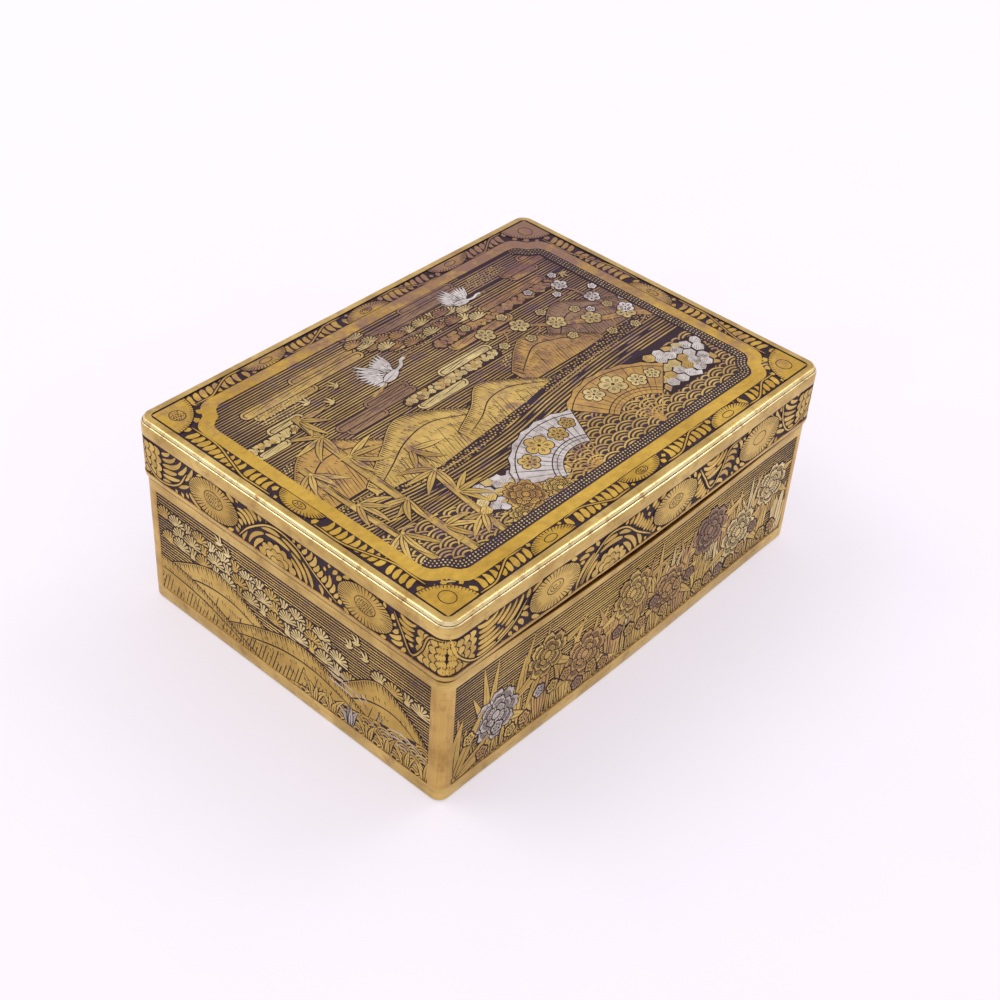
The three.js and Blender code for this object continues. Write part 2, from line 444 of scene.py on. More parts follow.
@dataclass(frozen=True)
class BoxSizes:
    """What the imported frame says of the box, and the few sizes that follow from it.

    Args:
        body: The body's outline.
        lid: The lid's outline.
        body_top: The height of the body's walls.
        lid_bottom: The height of the lid's lower edge.
        lid_top: The height of its top.
        plate: The lid plate's outline.
        ground_top: The height of the plate's top, which the inlay lies on.
        frame_half: Half the gold frame's length and width.
        hinge_half: Half the hinge's length.
        hinge_radius: A knuckle's radius.
        hinge_place: Where its axis lies, in y and z.
    """

    body: Outline
    lid: Outline
    body_top: float
    lid_bottom: float
    lid_top: float
    plate: Outline
    ground_top: float
    frame_half: Point
    hinge_half: float
    hinge_radius: float
    hinge_place: Point

    @classmethod
    def from_frame(cls) -> "BoxSizes":
        """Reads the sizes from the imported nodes.

        Returns:
            The sizes.
        """
        _, walls = box_of("body_walls")
        rim_low, rim = box_of("lid_rim")
        _, plate = box_of("lid_plate")
        _, gold = box_of("lid_frame_foil")
        low, knuckle = box_of("hinge_knuckle_body_5")
        return cls(
            body=Outline(walls[0], walls[1], BODY_RADIUS, FRONT_BOW),
            lid=Outline(rim[0], rim[1], LID_RADIUS, FRONT_BOW),
            body_top=walls[2],
            lid_bottom=rim_low[2],
            lid_top=rim[2],
            plate=Outline(plate[0], plate[1], PLATE_RADIUS),
            ground_top=plate[2],
            frame_half=(gold[0], gold[1]),
            hinge_half=knuckle[0],
            hinge_radius=(knuckle[2] - low[2]) / 2,
            hinge_place=((knuckle[1] + low[1]) / 2, (knuckle[2] + low[2]) / 2),
        )


class Bench:
    """Adds the nodes of one material and joins them."""

    def __init__(self, name: str) -> None:
        """Makes the material, with no nodes yet."""
        self.material = bpy.data.materials.new(name)
        self.material.use_nodes = True
        self._tree = self.material.node_tree
        self._tree.nodes.clear()

    def add(self, kind: str, inputs: Inputs, output: str | int = 0, **settings: str) -> Optional[Socket]:
        """Adds a node.

        Args:
            kind: What Blender calls it after ShaderNode.
            inputs: What its inputs get, by name or place: a number, vector, colour or another node's output.
            output: Which of its outputs is wanted.
            **settings: Its own settings.

        Returns:
            That output, or None where the node has none.
        """
        node = self._tree.nodes.new(f"ShaderNode{kind}")
        for name, setting in settings.items():
            setattr(node, name, setting)
        for place, value in inputs.items():
            socket = node.inputs[place]
            if isinstance(value, Socket):
                self._tree.links.new(value, socket)
            else:
                socket.default_value = (*value, 1.0) if socket.type == "RGBA" else value
        return node.outputs[output] if node.outputs else None

    def noise(self, place: Socket, scale: float, detail: float, roughness: float = 0.5) -> Socket:
        """Adds a noise texture."""
        inputs = {"Vector": place, "Scale": scale, "Detail": detail, "Roughness": roughness}
        return self.add("TexNoise", inputs)

    def ranged(self, value: Socket, *limits: float) -> Socket:
        """Maps a value from the first two limits to the last two, and holds it there."""
        return self.add("MapRange", dict(enumerate((value, *limits))))

    def maths(self, operation: str, a: object, b: object) -> Socket:
        """Joins two numbers or outputs by an operation."""
        return self.add("Math", {0: a, 1: b}, operation=operation)

    def blend(self, share: Socket, a: object, b: object) -> Socket:
        """Mixes two colours."""
        return self.add("Mix", {0: share, 6: a, 7: b}, 2, data_type="RGBA")


@dataclass(frozen=True)
class Metal:
    """A metal surface made of nodes: two tones, tarnish, pits, and marks left by the burnisher.

    Args:
        name: The material's name.
        deep: The darker tone.
        light: The lighter tone.
        tarnish: What it turns to where it is tarnished.
        metallic: How metallic it is.
        rough: Least and greatest roughness.
        marks: Fineness of the marks along each axis, in marks a metre.
        relief: Strength of the marks.
        patina: How much tarnish gathers towards the back right of the lid.
        blotch: How much tarnish lies in blotches all over.
        gloss: The specular level.
    """

    name: str
    deep: Colour
    light: Colour
    tarnish: Colour
    metallic: float = 1.0
    rough: tuple[float, float] = (0.26, 0.46)
    marks: Colour = (900.0, 900.0, 900.0)
    relief: float = 0.12
    patina: float = 0.0
    blotch: float = 0.15
    gloss: float = 0.5

    def build(self) -> bpy.types.Material:
        """Makes the material.

        Returns:
            The material.
        """
        bench = Bench(self.name)
        place = bench.add("TexCoord", {}, "Object")
        broad = bench.noise(place, 130.0, 3.0)
        cloudy = bench.noise(place, 420.0, 5.0, 0.65)
        fine = bench.noise(bench.add("Mapping", {"Vector": place, "Scale": self.marks}), 1.0, 4.0, 0.6)
        specks = bench.noise(place, 2600.0, 2.0)
        tone = bench.add("Attribute", {}, "Fac", attribute_name="tone")

        clouds = bench.ranged(broad, 0.35, 0.65, 0.0, 0.35)
        lean = bench.maths("ADD", clouds, bench.ranged(tone, 0, 1, 0.0, 0.45))
        lean = bench.maths("ADD", lean, bench.ranged(fine, 0.35, 0.65, 0.0, 0.2))
        colour = bench.blend(lean, self.deep, self.light)

        axes = {"Vector": place}
        back = bench.maths("MULTIPLY", bench.add("SeparateXYZ", axes, "Y"), 16.0)
        right = bench.maths("MULTIPLY", bench.add("SeparateXYZ", axes, "X"), 10.0)
        back_right = bench.maths("ADD", back, right)
        back_right = bench.maths("ADD", back_right, bench.ranged(cloudy, 0.3, 0.7, -0.45, 0.55))
        aged = bench.maths("MULTIPLY", bench.ranged(back_right, -0.1, 0.85, 0.0, 1.0), self.patina)
        blotches = bench.maths("MULTIPLY", bench.ranged(cloudy, 0.52, 0.68, 0.0, 1.0), self.blotch)
        pitted = bench.maths("MULTIPLY", bench.ranged(specks, 0.66, 0.74, 0.0, 1.0), 0.55)
        dull = bench.maths("MAXIMUM", aged, blotches)
        colour = bench.blend(bench.maths("MAXIMUM", dull, pitted), colour, self.tarnish)

        burnish = bench.ranged(fine, 0.3, 0.7, *self.rough)
        uneven = bench.maths("ADD", burnish, bench.maths("MULTIPLY", dull, 0.12))
        height = bench.maths("SUBTRACT", fine, bench.maths("MULTIPLY", pitted, 0.8))
        bump = bench.add("Bump", {"Strength": self.relief, "Distance": 0.00008, "Height": height})
        looks = {"Base Color": colour, "Metallic": self.metallic, "Roughness": uneven, "Normal": bump}
        shader = bench.add("BsdfPrincipled", {**looks, "Specular IOR Level": self.gloss})
        bench.add("OutputMaterial", {"Surface": shader})
        return bench.material


METALS: dict[Finish, Metal] = {
    Finish.GILT: Metal(
        "gilt iron", (0.29, 0.155, 0.03), (0.89, 0.655, 0.23), (0.22, 0.11, 0.035), rough=(0.2, 0.42),
        marks=(260.0, 260.0, 2600.0), relief=0.3, blotch=0.4,
    ),
    Finish.PILLAR: Metal(
        "gilt pillar", (0.30, 0.15, 0.03), (0.84, 0.58, 0.20), (0.18, 0.08, 0.03), rough=(0.28, 0.48),
        marks=(2600.0, 2600.0, 170.0), relief=0.3, blotch=0.3,
    ),
    # Paler gilt for the crown's crests: partly wear on the edge, partly a painted highlight that makes its
    # shine cream.
    Finish.RUBBED: Metal(
        "rubbed edge", (0.62, 0.46, 0.17), (0.95, 0.84, 0.52), (0.26, 0.14, 0.04), rough=(0.2, 0.44),
        marks=(700.0, 700.0, 2600.0), relief=0.5, blotch=0.9,
    ),
    # Painted shade: dark brown gilt that stands in for the shade at the seam, the foot and the panels'
    # steps.
    Finish.WORN: Metal(
        "worn brown edge", (0.17, 0.08, 0.02), (0.36, 0.20, 0.05), (0.09, 0.04, 0.02), rough=(0.35, 0.55),
        marks=(500.0, 500.0, 1500.0), relief=0.2, blotch=0.4,
    ),
    Finish.GOLD: Metal(
        "gold foil", (0.46, 0.265, 0.035), (0.80, 0.53, 0.095), (0.275, 0.155, 0.13), patina=0.9,
        marks=(700.0, 1100.0, 900.0), relief=0.14, blotch=0.18,
    ),
    Finish.SIDE_GOLD: Metal(
        "gold foil of the sides", (0.42, 0.25, 0.045), (0.78, 0.55, 0.15), (0.17, 0.085, 0.04), patina=0.35,
        marks=(500.0, 500.0, 1500.0), relief=0.14, blotch=0.3,
    ),
    Finish.OLD_GOLD: Metal(
        "gold foil of the picture", (0.38, 0.23, 0.06), (0.80, 0.57, 0.17), (0.30, 0.17, 0.145), patina=0.9,
        marks=(700.0, 1100.0, 900.0), relief=0.2, blotch=0.8,
    ),
    Finish.RED_GOLD: Metal(
        "red gold foil", (0.38, 0.205, 0.06), (0.68, 0.43, 0.13), (0.20, 0.10, 0.11), patina=0.9, blotch=0.5,
    ),
    Finish.PALE_GOLD: Metal(
        "pale gold foil", (0.56, 0.41, 0.14), (0.86, 0.70, 0.34), (0.24, 0.15, 0.09), patina=0.7, blotch=0.3,
    ),
    Finish.SILVER: Metal(
        "silver foil", (0.44, 0.39, 0.35), (0.86, 0.81, 0.76), (0.22, 0.15, 0.11), rough=(0.26, 0.5),
        blotch=0.85, relief=0.35,
    ),
    Finish.SIDE_SILVER: Metal(
        "silver foil of the sides", (0.36, 0.31, 0.26), (0.70, 0.64, 0.57), (0.18, 0.12, 0.085),
        rough=(0.28, 0.5), blotch=0.85, relief=0.35,
    ),
    Finish.COPPER: Metal(
        "copper foil", (0.25, 0.14, 0.08), (0.44, 0.28, 0.15), (0.16, 0.09, 0.11), rough=(0.3, 0.5),
        patina=0.7, blotch=0.6,
    ),
    Finish.GROUND: Metal(
        "blackened ground", (0.026, 0.013, 0.018), (0.050, 0.029, 0.040), (0.045, 0.032, 0.085),
        metallic=0.0, rough=(0.5, 0.7), blotch=0.5, relief=0.3, gloss=0.12,
    ),
    Finish.ENGRAVED: Metal(
        "engraved line", (0.020, 0.009, 0.010), (0.046, 0.023, 0.022), (0.06, 0.032, 0.03), metallic=0.0,
        rough=(0.5, 0.7), blotch=0.3, gloss=0.12,
    ),
    Finish.LINING: Metal(
        "gilt lining", (0.42, 0.20, 0.03), (0.66, 0.38, 0.07), (0.16, 0.06, 0.02), rough=(0.2, 0.4),
        blotch=0.4,
    ),
    Finish.HINGE: Metal(
        "hinge metal", (0.16, 0.12, 0.08), (0.36, 0.28, 0.18), (0.06, 0.04, 0.03), rough=(0.35, 0.55),
        marks=(300.0, 1200.0, 1200.0), blotch=0.5,
    ),
}


class Workshop:
    """Makes the materials once and turns finished meshes into pieces of the box."""

    def __init__(self) -> None:
        """Starts with no material made."""
        self._made: dict[Finish, bpy.types.Material] = {}

    def material(self, finish: Finish) -> bpy.types.Material:
        """The material of a finish, made when first asked for.

        Args:
            finish: The finish.

        Returns:
            Its material.
        """
        if finish not in self._made:
            self._made[finish] = METALS[finish].build()
        return self._made[finish]

    def piece(
        self,
        name: str,
        verts: np.ndarray,
        faces: Sequence[Face],
        finishes: Sequence[Finish],
        tones: Optional[Sequence[float]] = None,
        crease: float = 35.0,
    ) -> bpy.types.Object:
        """Makes an object of a mesh given in millimetres.

        Args:
            name: The piece's name.
            verts: Corners, one row each.
            faces: Indexes of each face's corners.
            finishes: The finish of each face.
            tones: A tone from 0 to 1 for each face, or None for the same tone all over.
            crease: Edges sharper than this angle in degrees stay sharp.

        Returns:
            The object, linked to the scene.
        """
        mesh = bpy.data.meshes.new(name)
        mesh.from_pydata((verts * MILLIMETRE).tolist(), [], faces)
        used = sorted(set(finishes), key=lambda f: f.value)
        for finish in used:
            mesh.materials.append(self.material(finish))
        index = {finish: place for place, finish in enumerate(used)}
        mesh.polygons.foreach_set("material_index", [index[f] for f in finishes])
        tone = mesh.attributes.new("tone", "FLOAT", "FACE")
        tone.data.foreach_set("value", tones or [0.5] * len(mesh.polygons))
        mesh.polygons.foreach_set("use_smooth", [True] * len(mesh.polygons))
        mesh.set_sharp_from_angle(angle=math.radians(crease))
        mesh.update()
        made = bpy.data.objects.new(name, mesh)
        bpy.context.scene.collection.objects.link(made)
        log.info("%s: %d corners, %d faces", name, len(mesh.vertices), len(mesh.polygons))
        return made

    def seat(self, piece: bpy.types.Object, body: Body, slot: Slot, *nodes: str) -> None:
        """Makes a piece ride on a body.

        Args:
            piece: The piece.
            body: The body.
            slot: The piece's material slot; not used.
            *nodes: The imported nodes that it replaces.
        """
        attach(piece, body.value)
        if nodes:
            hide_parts(*nodes)

    def dress(self, node: str, finish: Finish) -> None:
        """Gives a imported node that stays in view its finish.

        Args:
            node: The node.
            finish: Its finish.
        """
        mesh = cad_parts[node].data
        mesh.materials.clear()
        mesh.materials.append(self.material(finish))


class Chart(Protocol):
    """A way to lay flat work on a surface of the box."""

    def facet(self, outline: Path) -> float:
        """The greatest size of a facet of a plate with this outline, 0 where it can be one facet."""

    def place(self, flat: Path, height: np.ndarray) -> np.ndarray:
        """Puts flat points at heights over the surface into the frame."""


@dataclass(frozen=True)
class TopChart:
    """The top of the lid: x and y, and the height over its ground."""

    ground: float

    def facet(self, outline: Path) -> float:
        """The top is flat all over."""
        return 0.0

    def place(self, flat: Path, height: np.ndarray) -> np.ndarray:
        """Puts flat points into the frame."""
        return np.column_stack([flat, self.ground + height])


@dataclass(frozen=True)
class WallChart:
    """A side of the body or the lid, whose ends run on round the corners.

    Args:
        outline: The outline of the ground that the work lies on.
        side: Which side.
    """

    outline: Outline
    side: Side

    def facet(self, outline: Path) -> float:
        """The size of the facets, small round a corner and larger on the bowed front.

        Args:
            outline: The outline of a plate.

        Returns:
            The greatest size of a facet, 0 where the plate can be one facet.
        """
        size = np.ptp(outline, axis=0).max()
        if size > 0.8 and np.abs(outline[:, 0]).max() > self.outline.straight(self.side):
            return 0.4
        return 2.2 if size > 1.5 and self.side is Side.FRONT else 0.0

    def place(self, flat: Path, height: np.ndarray) -> np.ndarray:
        """Puts points into the frame.

        Args:
            flat: The points as (along, up).
            height: How far each stands out from the ground.

        Returns:
            The points as x, y and z.
        """
        u, v = flat.T
        straight, radius = self.outline.straight(self.side), self.outline.radius
        over = np.clip((np.abs(u) - straight) / radius, 0, math.pi / 2)
        along = np.sign(u) * (np.minimum(np.abs(u), straight) + (radius + height) * np.sin(over))
        out = self.outline.distance(self.side) - radius + (radius + height) * np.cos(over)
        out = out + self.outline.bulge(self.side, u)
        return np.column_stack([np.outer(along, self.side.along) + np.outer(out, self.side.outward), v])


def level(tier: float) -> float:
    """The height of a tier of foil over the ground."""
    return FIRST_TIER + TIER * tier


class Inlay:
    """Closed slivers of foil and engraved strokes, laid on one chart and joined in one piece."""

    def __init__(self, chart: Chart, seed: int, cut: float = 1.0) -> None:
        """Starts empty.

        Args:
            chart: The surface that the work lies on.
            seed: For the tones and the unevenness of the hand.
            cut: How much broader than usual its engraved strokes are.
        """
        self.chart = chart
        self.cut = cut
        self.gold = Finish.SIDE_GOLD if isinstance(chart, WallChart) else Finish.GOLD
        self.low = np.array((-1e3, -1e3))
        self.high = np.array((1e3, 1e3))
        self.rng = random.Random(seed)
        self._verts: list[np.ndarray] = []
        self._count = 0
        self._faces: list[Face] = []
        self._finishes: list[Finish] = []
        self._tones: list[float] = []

    def _keep(self, flat: Path, height: np.ndarray, faces: Sequence[Face], finish: Finish) -> None:
        """Adds one closed solid, a hair off its neighbours so that no two tops lie in one plane.

        Args:
            flat: Its corners on the chart.
            height: Their heights over the ground.
            faces: Its faces.
            finish: Its finish.
        """
        hair = HAIR * (len(self._verts) % HAIRS)
        self._verts.append(self.chart.place(flat, height + hair * (height > 0)))
        self._faces.extend([[self._count + i for i in face] for face in faces])
        self._count += len(flat)
        self._finishes.extend([finish] * len(faces))
        self._tones.extend([self.rng.random()] * len(faces))

    def strand(
        self,
        path: Path,
        width: float,
        tier: float,
        finish: Finish = Finish.GOLD,
        taper: Taper = Taper.NONE,
        closed: bool = False,
    ) -> None:
        """Lays a strand of foil, or an engraved stroke, along a path.

        Args:
            path: The middle line.
            width: The width where it is widest.
            tier: Its tier over the ground.
            finish: Its finish.
            taper: How the width runs along it.
            closed: Whether it joins up with itself.
        """
        if not closed and ((path < self.low) | (path > self.high)).any():
            path = self._held(path)
        n = len(path)
        if n < 2:
            return
        if finish is Finish.ENGRAVED:
            width *= self.cut
        half = 0.5 * width * taper.shape(np.linspace(0, 1, n))
        side = normals(path, closed)
        foot = half + SLANT
        rails = [(-foot, SUNK), (-half, level(tier)), (half, level(tier)), (foot, SUNK)]
        flat = np.vstack([path + side * reach[:, None] for reach, _ in rails])
        faces = tube_faces(n, len(rails), closed)
        if not closed:
            faces += [(0, n, 2 * n, 3 * n), (4 * n - 1, 3 * n - 1, 2 * n - 1, n - 1)]
        self._keep(flat, np.repeat([h for _, h in rails], n), faces, finish)

    def engrave(
        self, path: Path, width: float, tier: float, taper: Taper = Taper.TIP, closed: bool = False
    ) -> None:
        """Engraves a stroke along a path."""
        self.strand(path, width, tier, Finish.ENGRAVED, taper, closed)

    def _held(self, path: Path) -> Path:
        """Holds a path within the bounds of the work.

        Args:
            path: The path.

        Returns:
            Its longest stretch within them.
        """
        path = evenly(path, 0.35)
        held = ((path >= self.low) & (path <= self.high)).all(1)
        return max((path[a:b] for a, b in stretches(held)), key=len, default=path[:0])

    def plate(self, outline: Path, tier: float, finish: Finish = Finish.GOLD, halo: float = 0.15) -> None:
        """Lays a plate of foil with a dark line round it.

        Args:
            outline: Its outline, which repeats no point.
            tier: Its tier over the ground.
            finish: Its finish.
            halo: The width of the dark line, 0 for none.
        """
        outline = wound_left(cut_to_box(outline, self.low, self.high))
        if len(outline) < 3:
            return
        if halo:
            self.engrave(outline, 2 * halo, tier - 0.5, Taper.NONE, closed=True)
        facet = self.chart.facet(outline)
        if facet:
            outline = evenly(np.vstack([outline, outline[:1]]), min(facet, 0.5))[:-1]
        n = len(outline)
        inner, faces = self._tiled(outline, facet) if facet else (outline, [tuple(range(n))])
        foot = outline - normals(outline, closed=True) * SLANT
        m = len(inner)
        faces.append(tuple(m + i for i in reversed(range(n))))
        faces.extend((m + i, m + (i + 1) % n, (i + 1) % n, i) for i in range(n))
        self._keep(np.vstack([inner, foot]), np.r_[np.full(m, level(tier)), np.full(n, SUNK)], faces, finish)

    def _tiled(self, outline: Path, facet: float) -> tuple[Path, list[Face]]:
        """Splits a plate in small triangles, so that it can follow a bowed side.

        Args:
            outline: The plate's outline, anticlockwise.
            facet: The greatest size of a triangle.

        Returns:
            The outline's points with the inner ones after them, and the triangles.
        """
        low, high = outline.min(0), outline.max(0)
        us, vs = (np.arange(low[k] + 0.41 * facet, high[k], facet) for k in (0, 1))
        grid = np.array([(u, v) for u in us for v in vs]).reshape(-1, 2)
        if len(grid):
            apart = np.hypot(*(grid[:, None] - outline[None]).transpose(2, 0, 1)).min(1)
            grid = grid[inside(grid, outline) & (apart > 0.2 * facet)]
        points = np.vstack([outline, grid])
        n = len(outline)
        edges = [(i, (i + 1) % n) for i in range(n)]
        verts, _, faces, origins, _, _ = delaunay_2d_cdt([Vector(p) for p in points], edges, [], 1, 1e-7)
        if len(verts) != len(points) or any(len(o) != 1 for o in origins):
            return outline, [tuple(range(n))]
        return points, [tuple(origins[i][0] for i in face) for face in faces]

    def dot(self, centre: Point, radius: float, tier: float, finish: Finish) -> None:
        """Lays one round speck."""
        self.plate(arc(centre, radius, radius, 0, 300, 5), tier, finish, halo=0)

    def stipple(self, outline: Path, pitch: float, radius: float, tier: float, finish: Finish) -> None:
        """Fills an outline with specks.

        Args:
            outline: Where the specks lie.
            pitch: The distance between them.
            radius: A speck's radius.
            tier: Their tier.
            finish: Their finish.
        """
        low, high = outline.min(0) + radius, outline.max(0) - radius
        for row, v in enumerate(np.arange(low[1], high[1], pitch * 0.87)):
            us = np.arange(low[0] + (row % 2) * pitch / 2, high[0], pitch)
            spots = np.column_stack([us, np.full(len(us), v)])
            shifts = [(self.rng.uniform(-1, 1), self.rng.uniform(-1, 1)) for _ in us]
            spots += shifts * np.array(pitch * 0.18)
            for spot in spots[inside(spots, outline)] if len(spots) else ():
                self.dot(spot, radius * self.rng.uniform(0.75, 1.15), tier, finish)

    def hatch(
        self,
        outline: Path,
        pitch: float,
        angle: float,
        width: float,
        tier: float,
        finish: Finish = Finish.GOLD,
        keep: float = 1.0,
    ) -> None:
        """Fills an outline with straight strokes.

        Args:
            outline: Where the strokes lie.
            pitch: The distance between them.
            angle: Their direction in degrees.
            width: Their width.
            tier: Their tier.
            finish: Their finish.
            keep: The share of the strokes that are whole; the others end early.
        """
        flat = turned(outline, -angle)
        following = np.roll(flat, -1, 0)
        for v in np.arange(flat[:, 1].min() + pitch / 2, flat[:, 1].max(), pitch):
            v = v + self.rng.uniform(-0.07, 0.07) * pitch
            crossing = (flat[:, 1] > v) != (following[:, 1] > v)
            a, b = flat[crossing], following[crossing]
            us = np.sort(a[:, 0] + (b[:, 0] - a[:, 0]) * (v - a[:, 1]) / (b[:, 1] - a[:, 1]))
            for start, end in zip(us[::2], us[1::2]):
                if self.rng.random() > keep:
                    end = start + (end - start) * self.rng.uniform(0.3, 0.9)
                if end - start < 0.3:
                    continue
                count = 2 + int((end - start) / 4)
                line = np.column_stack([np.linspace(start, end, count), np.full(count, v)])
                line[1:-1, 1] += [self.rng.uniform(-0.03, 0.03) for _ in range(count - 2)]
                broad = width * self.rng.uniform(0.8, 1.2)
                self.strand(turned(line, angle), broad, tier, finish, Taper.SOFT)

    def piece(self, workshop: Workshop, name: str) -> bpy.types.Object:
        """Joins all that was laid in one object."""
        finishes = [self.gold if f is Finish.GOLD else f for f in self._finishes]
        return workshop.piece(name, np.vstack(self._verts), self._faces, finishes, self._tones)


class Plot:
    """Which spots of a surface are taken, so that crescents fill only what is left."""

    def __init__(self, low: Point, high: Point, cell: float = 0.07) -> None:
        """Starts with every spot free.

        Args:
            low: Lowest corner of the plot.
            high: Highest corner.
            cell: Size of a spot.
        """
        self.low = np.array(low, float)
        self.high = np.array(high, float)
        self.cell = cell
        self.taken = np.zeros(np.ceil((self.high - self.low) / cell).astype(int) + 1, bool)

    def _spots(self, points: Path) -> tuple[np.ndarray, np.ndarray]:
        """The spots that points fall in as index pairs, and which of them lie on the plot."""
        spots = np.round((points - self.low) / self.cell).astype(int)
        return spots, ((spots >= 0) & (spots < self.taken.shape)).all(1)

    def take_path(self, path: Path, reach: float) -> None:
        """Takes every spot within reach of a path.

        Args:
            path: The path.
            reach: The reach.
        """
        radius = int(math.ceil(reach / self.cell))
        offsets = np.array([(i, j) for i in range(-radius, radius + 1) for j in range(-radius, radius + 1)])
        offsets = offsets[np.hypot(*offsets.T) * self.cell <= reach]
        spots = (self._spots(evenly(path, self.cell * 1.5))[0][:, None] + offsets[None]).reshape(-1, 2)
        spots = spots[((spots >= 0) & (spots < self.taken.shape)).all(1)]
        self.taken[spots[:, 0], spots[:, 1]] = True

    def take_inside(self, outline: Path, reach: float) -> None:
        """Takes every spot inside an outline and within reach of it.

        Args:
            outline: The outline, which repeats no point.
            reach: The reach.
        """
        spots = np.argwhere(~self.taken)
        points = self.low + spots * self.cell
        near = ((points >= outline.min(0)) & (points <= outline.max(0))).all(1)
        spots, points = spots[near], points[near]
        chunks = np.array_split(points, 1 + len(points) // 20000)
        spots = spots[np.concatenate([inside(chunk, outline) for chunk in chunks])]
        self.taken[spots[:, 0], spots[:, 1]] = True
        self.take_path(np.vstack([outline, outline[:1]]), reach)

    def free(self, points: Path) -> np.ndarray:
        """Which points lie on free spots of the plot.

        Args:
            points: The points.

        Returns:
            One truth value for each point.
        """
        spots, within = self._spots(points)
        safe = np.where(within[:, None], spots, 0)
        return within & ~self.taken[safe[:, 0], safe[:, 1]]

    def runs(self, path: Path, shortest: float) -> list[Path]:
        """The free stretches of a path that are long enough.

        Args:
            path: The path.
            shortest: Shorter stretches are left out.

        Returns:
            The stretches.
        """
        fine = evenly(path, self.cell)
        pieces = [fine[a:b] for a, b in stretches(self.free(fine))]
        return [p for p in pieces if len(p) > 2 and span_of(p) >= shortest]


@dataclass
class ScrollWork:
    """Vines with crescents between chrysanthemums, which fill a band of the lid.

    Args:
        inlay: Where it is laid.
        plot: What is taken on that surface.
        width: A crescent's width.
        gap: The dark gap beside a crescent.
        vine: The vine's width.
        shortest: Shorter crescents are left out.
        tier: The tier of all of it.
        fineness: How close the spots lie that the short crescents are tried at.
    """

    inlay: Inlay
    plot: Plot
    width: float
    gap: float
    vine: float
    shortest: float = 0.7
    tier: float = 20.0
    fineness: float = 0.34

    def stem(self, points: Sequence[Point]) -> Path:
        """Lays a vine through points and takes its place.

        Args:
            points: Where it passes.

        Returns:
            Its middle line.
        """
        path = smooth(points)
        line = evenly(path, 0.45)
        self.inlay.engrave(line, self.vine + 0.44, self.tier + 1, Taper.NONE)
        self.inlay.strand(line, self.vine, self.tier + 1.6, Finish.GOLD, Taper.SOFT)
        self.plot.take_path(path, self.vine / 2 + 0.08)
        return path

    def family(self, paths: Sequence[Path], longest: float = 3.4, shortest: Optional[float] = None) -> None:
        """Lays neighbouring crescents along the free stretches of paths.

        Args:
            paths: Their middle lines.
            longest: A longer stretch is split.
            shortest: Shorter stretches are left out, None for the usual length.
        """
        laid = []
        for path in paths:
            for run in self.plot.runs(path, shortest or self.shortest):
                count = max(1, int(math.ceil(span_of(run) / longest)))
                for part in np.array_split(run, count):
                    if count > 1:
                        part = part[: max(3, len(part) - int(self.gap * 1.2 / self.plot.cell))]
                    if len(part) < 4:
                        continue
                    width = self.width * self.inlay.rng.uniform(0.9, 1.12)
                    width *= min(1, 0.6 + span_of(part) / 3.0)
                    self.inlay.strand(evenly(part, 0.4), width, self.tier, Finish.GOLD, Taper.CRESCENT)
                self.plot.take_path(run, self.width * 0.9 + self.gap * 0.4)
                laid.append(run)
        for run in laid:
            self.plot.take_path(run, (self.width + self.gap) * 0.93)

    def scales(
        self, centre: Point, size: float, rows: int, start: float, end: float, first: float = 0.0
    ) -> None:
        """Lays rows of scales round a point, each row under the one inside it.

        Args:
            centre: The point.
            size: A scale's width.
            rows: How many rows.
            start: First angle in degrees.
            end: Last angle.
            first: How far from the point the first row stands.
        """
        for row in range(rows):
            reach = first + size * (0.45 + 0.82 * row)
            count = max(1, round(math.radians(end - start) * (reach + size * 0.4) / size))
            for k in range(count):
                turn = start + (end - start) * (k + 0.5 + 0.5 * (row % 2)) / count
                if turn > end or not self.plot.free((centre + ray(turn, reach + size * 0.4))[None])[0]:
                    continue
                petal = arc((0, 0), size * 0.74, size * 0.53, -90, 90, 10)
                petal = np.vstack([petal, [(-size * 0.3, 0.3 * size), (-size * 0.3, -0.3 * size)]])
                petal = turned(petal, turn) + centre + ray(turn, reach)
                petal[:, 1] = np.clip(petal[:, 1], self.plot.low[1] + 0.1, self.plot.high[1] - 0.1)
                self.inlay.plate(petal, self.tier - 2 * row, halo=0.16)
        reach = first + size * (1.1 + 0.82 * (rows - 1))
        span = arc(centre, reach, reach, start, end, 20)
        self.plot.take_inside(np.vstack([span, [centre]]), self.gap + self.width * 0.3)

    def rings(self, centre: Point, rx: float, ry: float) -> None:
        """Lays two rings of crescents round a flower.

        Args:
            centre: The flower's middle.
            rx: Half the width of the first ring.
            ry: Half its height.
        """
        for out in (0.0, self.width + self.gap):
            self.family([arc(centre, rx + out, ry + out, 0, 360, 40)])

    def comb(self, guide: Path, length: float, lean: float, bulge: float) -> None:
        """Lays crescents that stand on a guide line like the teeth of a comb.

        Args:
            guide: The line; the teeth stand to its left.
            length: How far they reach, negative for the right.
            lean: How far their ends run ahead along the line.
            bulge: How far they bow, as a share of their length.
        """
        line = evenly(guide, self.width + self.gap)
        side = normals(line)
        ahead = np.column_stack([side[:, 1], -side[:, 0]])
        ends = line + side * length + ahead * lean
        self.family([bow_between(a, b, bulge, 12) for a, b in zip(line, ends)], abs(length) * 1.4)

    def nest(self, centre: Point, shape: Point, first: float, count: int, start: float, end: float) -> None:
        """Lays bowed crescents one inside the other.

        Args:
            centre: The middle of their bows.
            shape: How much they are stretched along and across.
            first: The innermost bow's radius.
            count: How many there are.
            start: First angle in degrees.
            end: Last angle.
        """
        reaches = [first + k * (self.width + self.gap) * 1.02 for k in range(count)]
        self.family([arc(centre, r * shape[0], r * shape[1], start, end, 30) for r in reaches], 7.0)

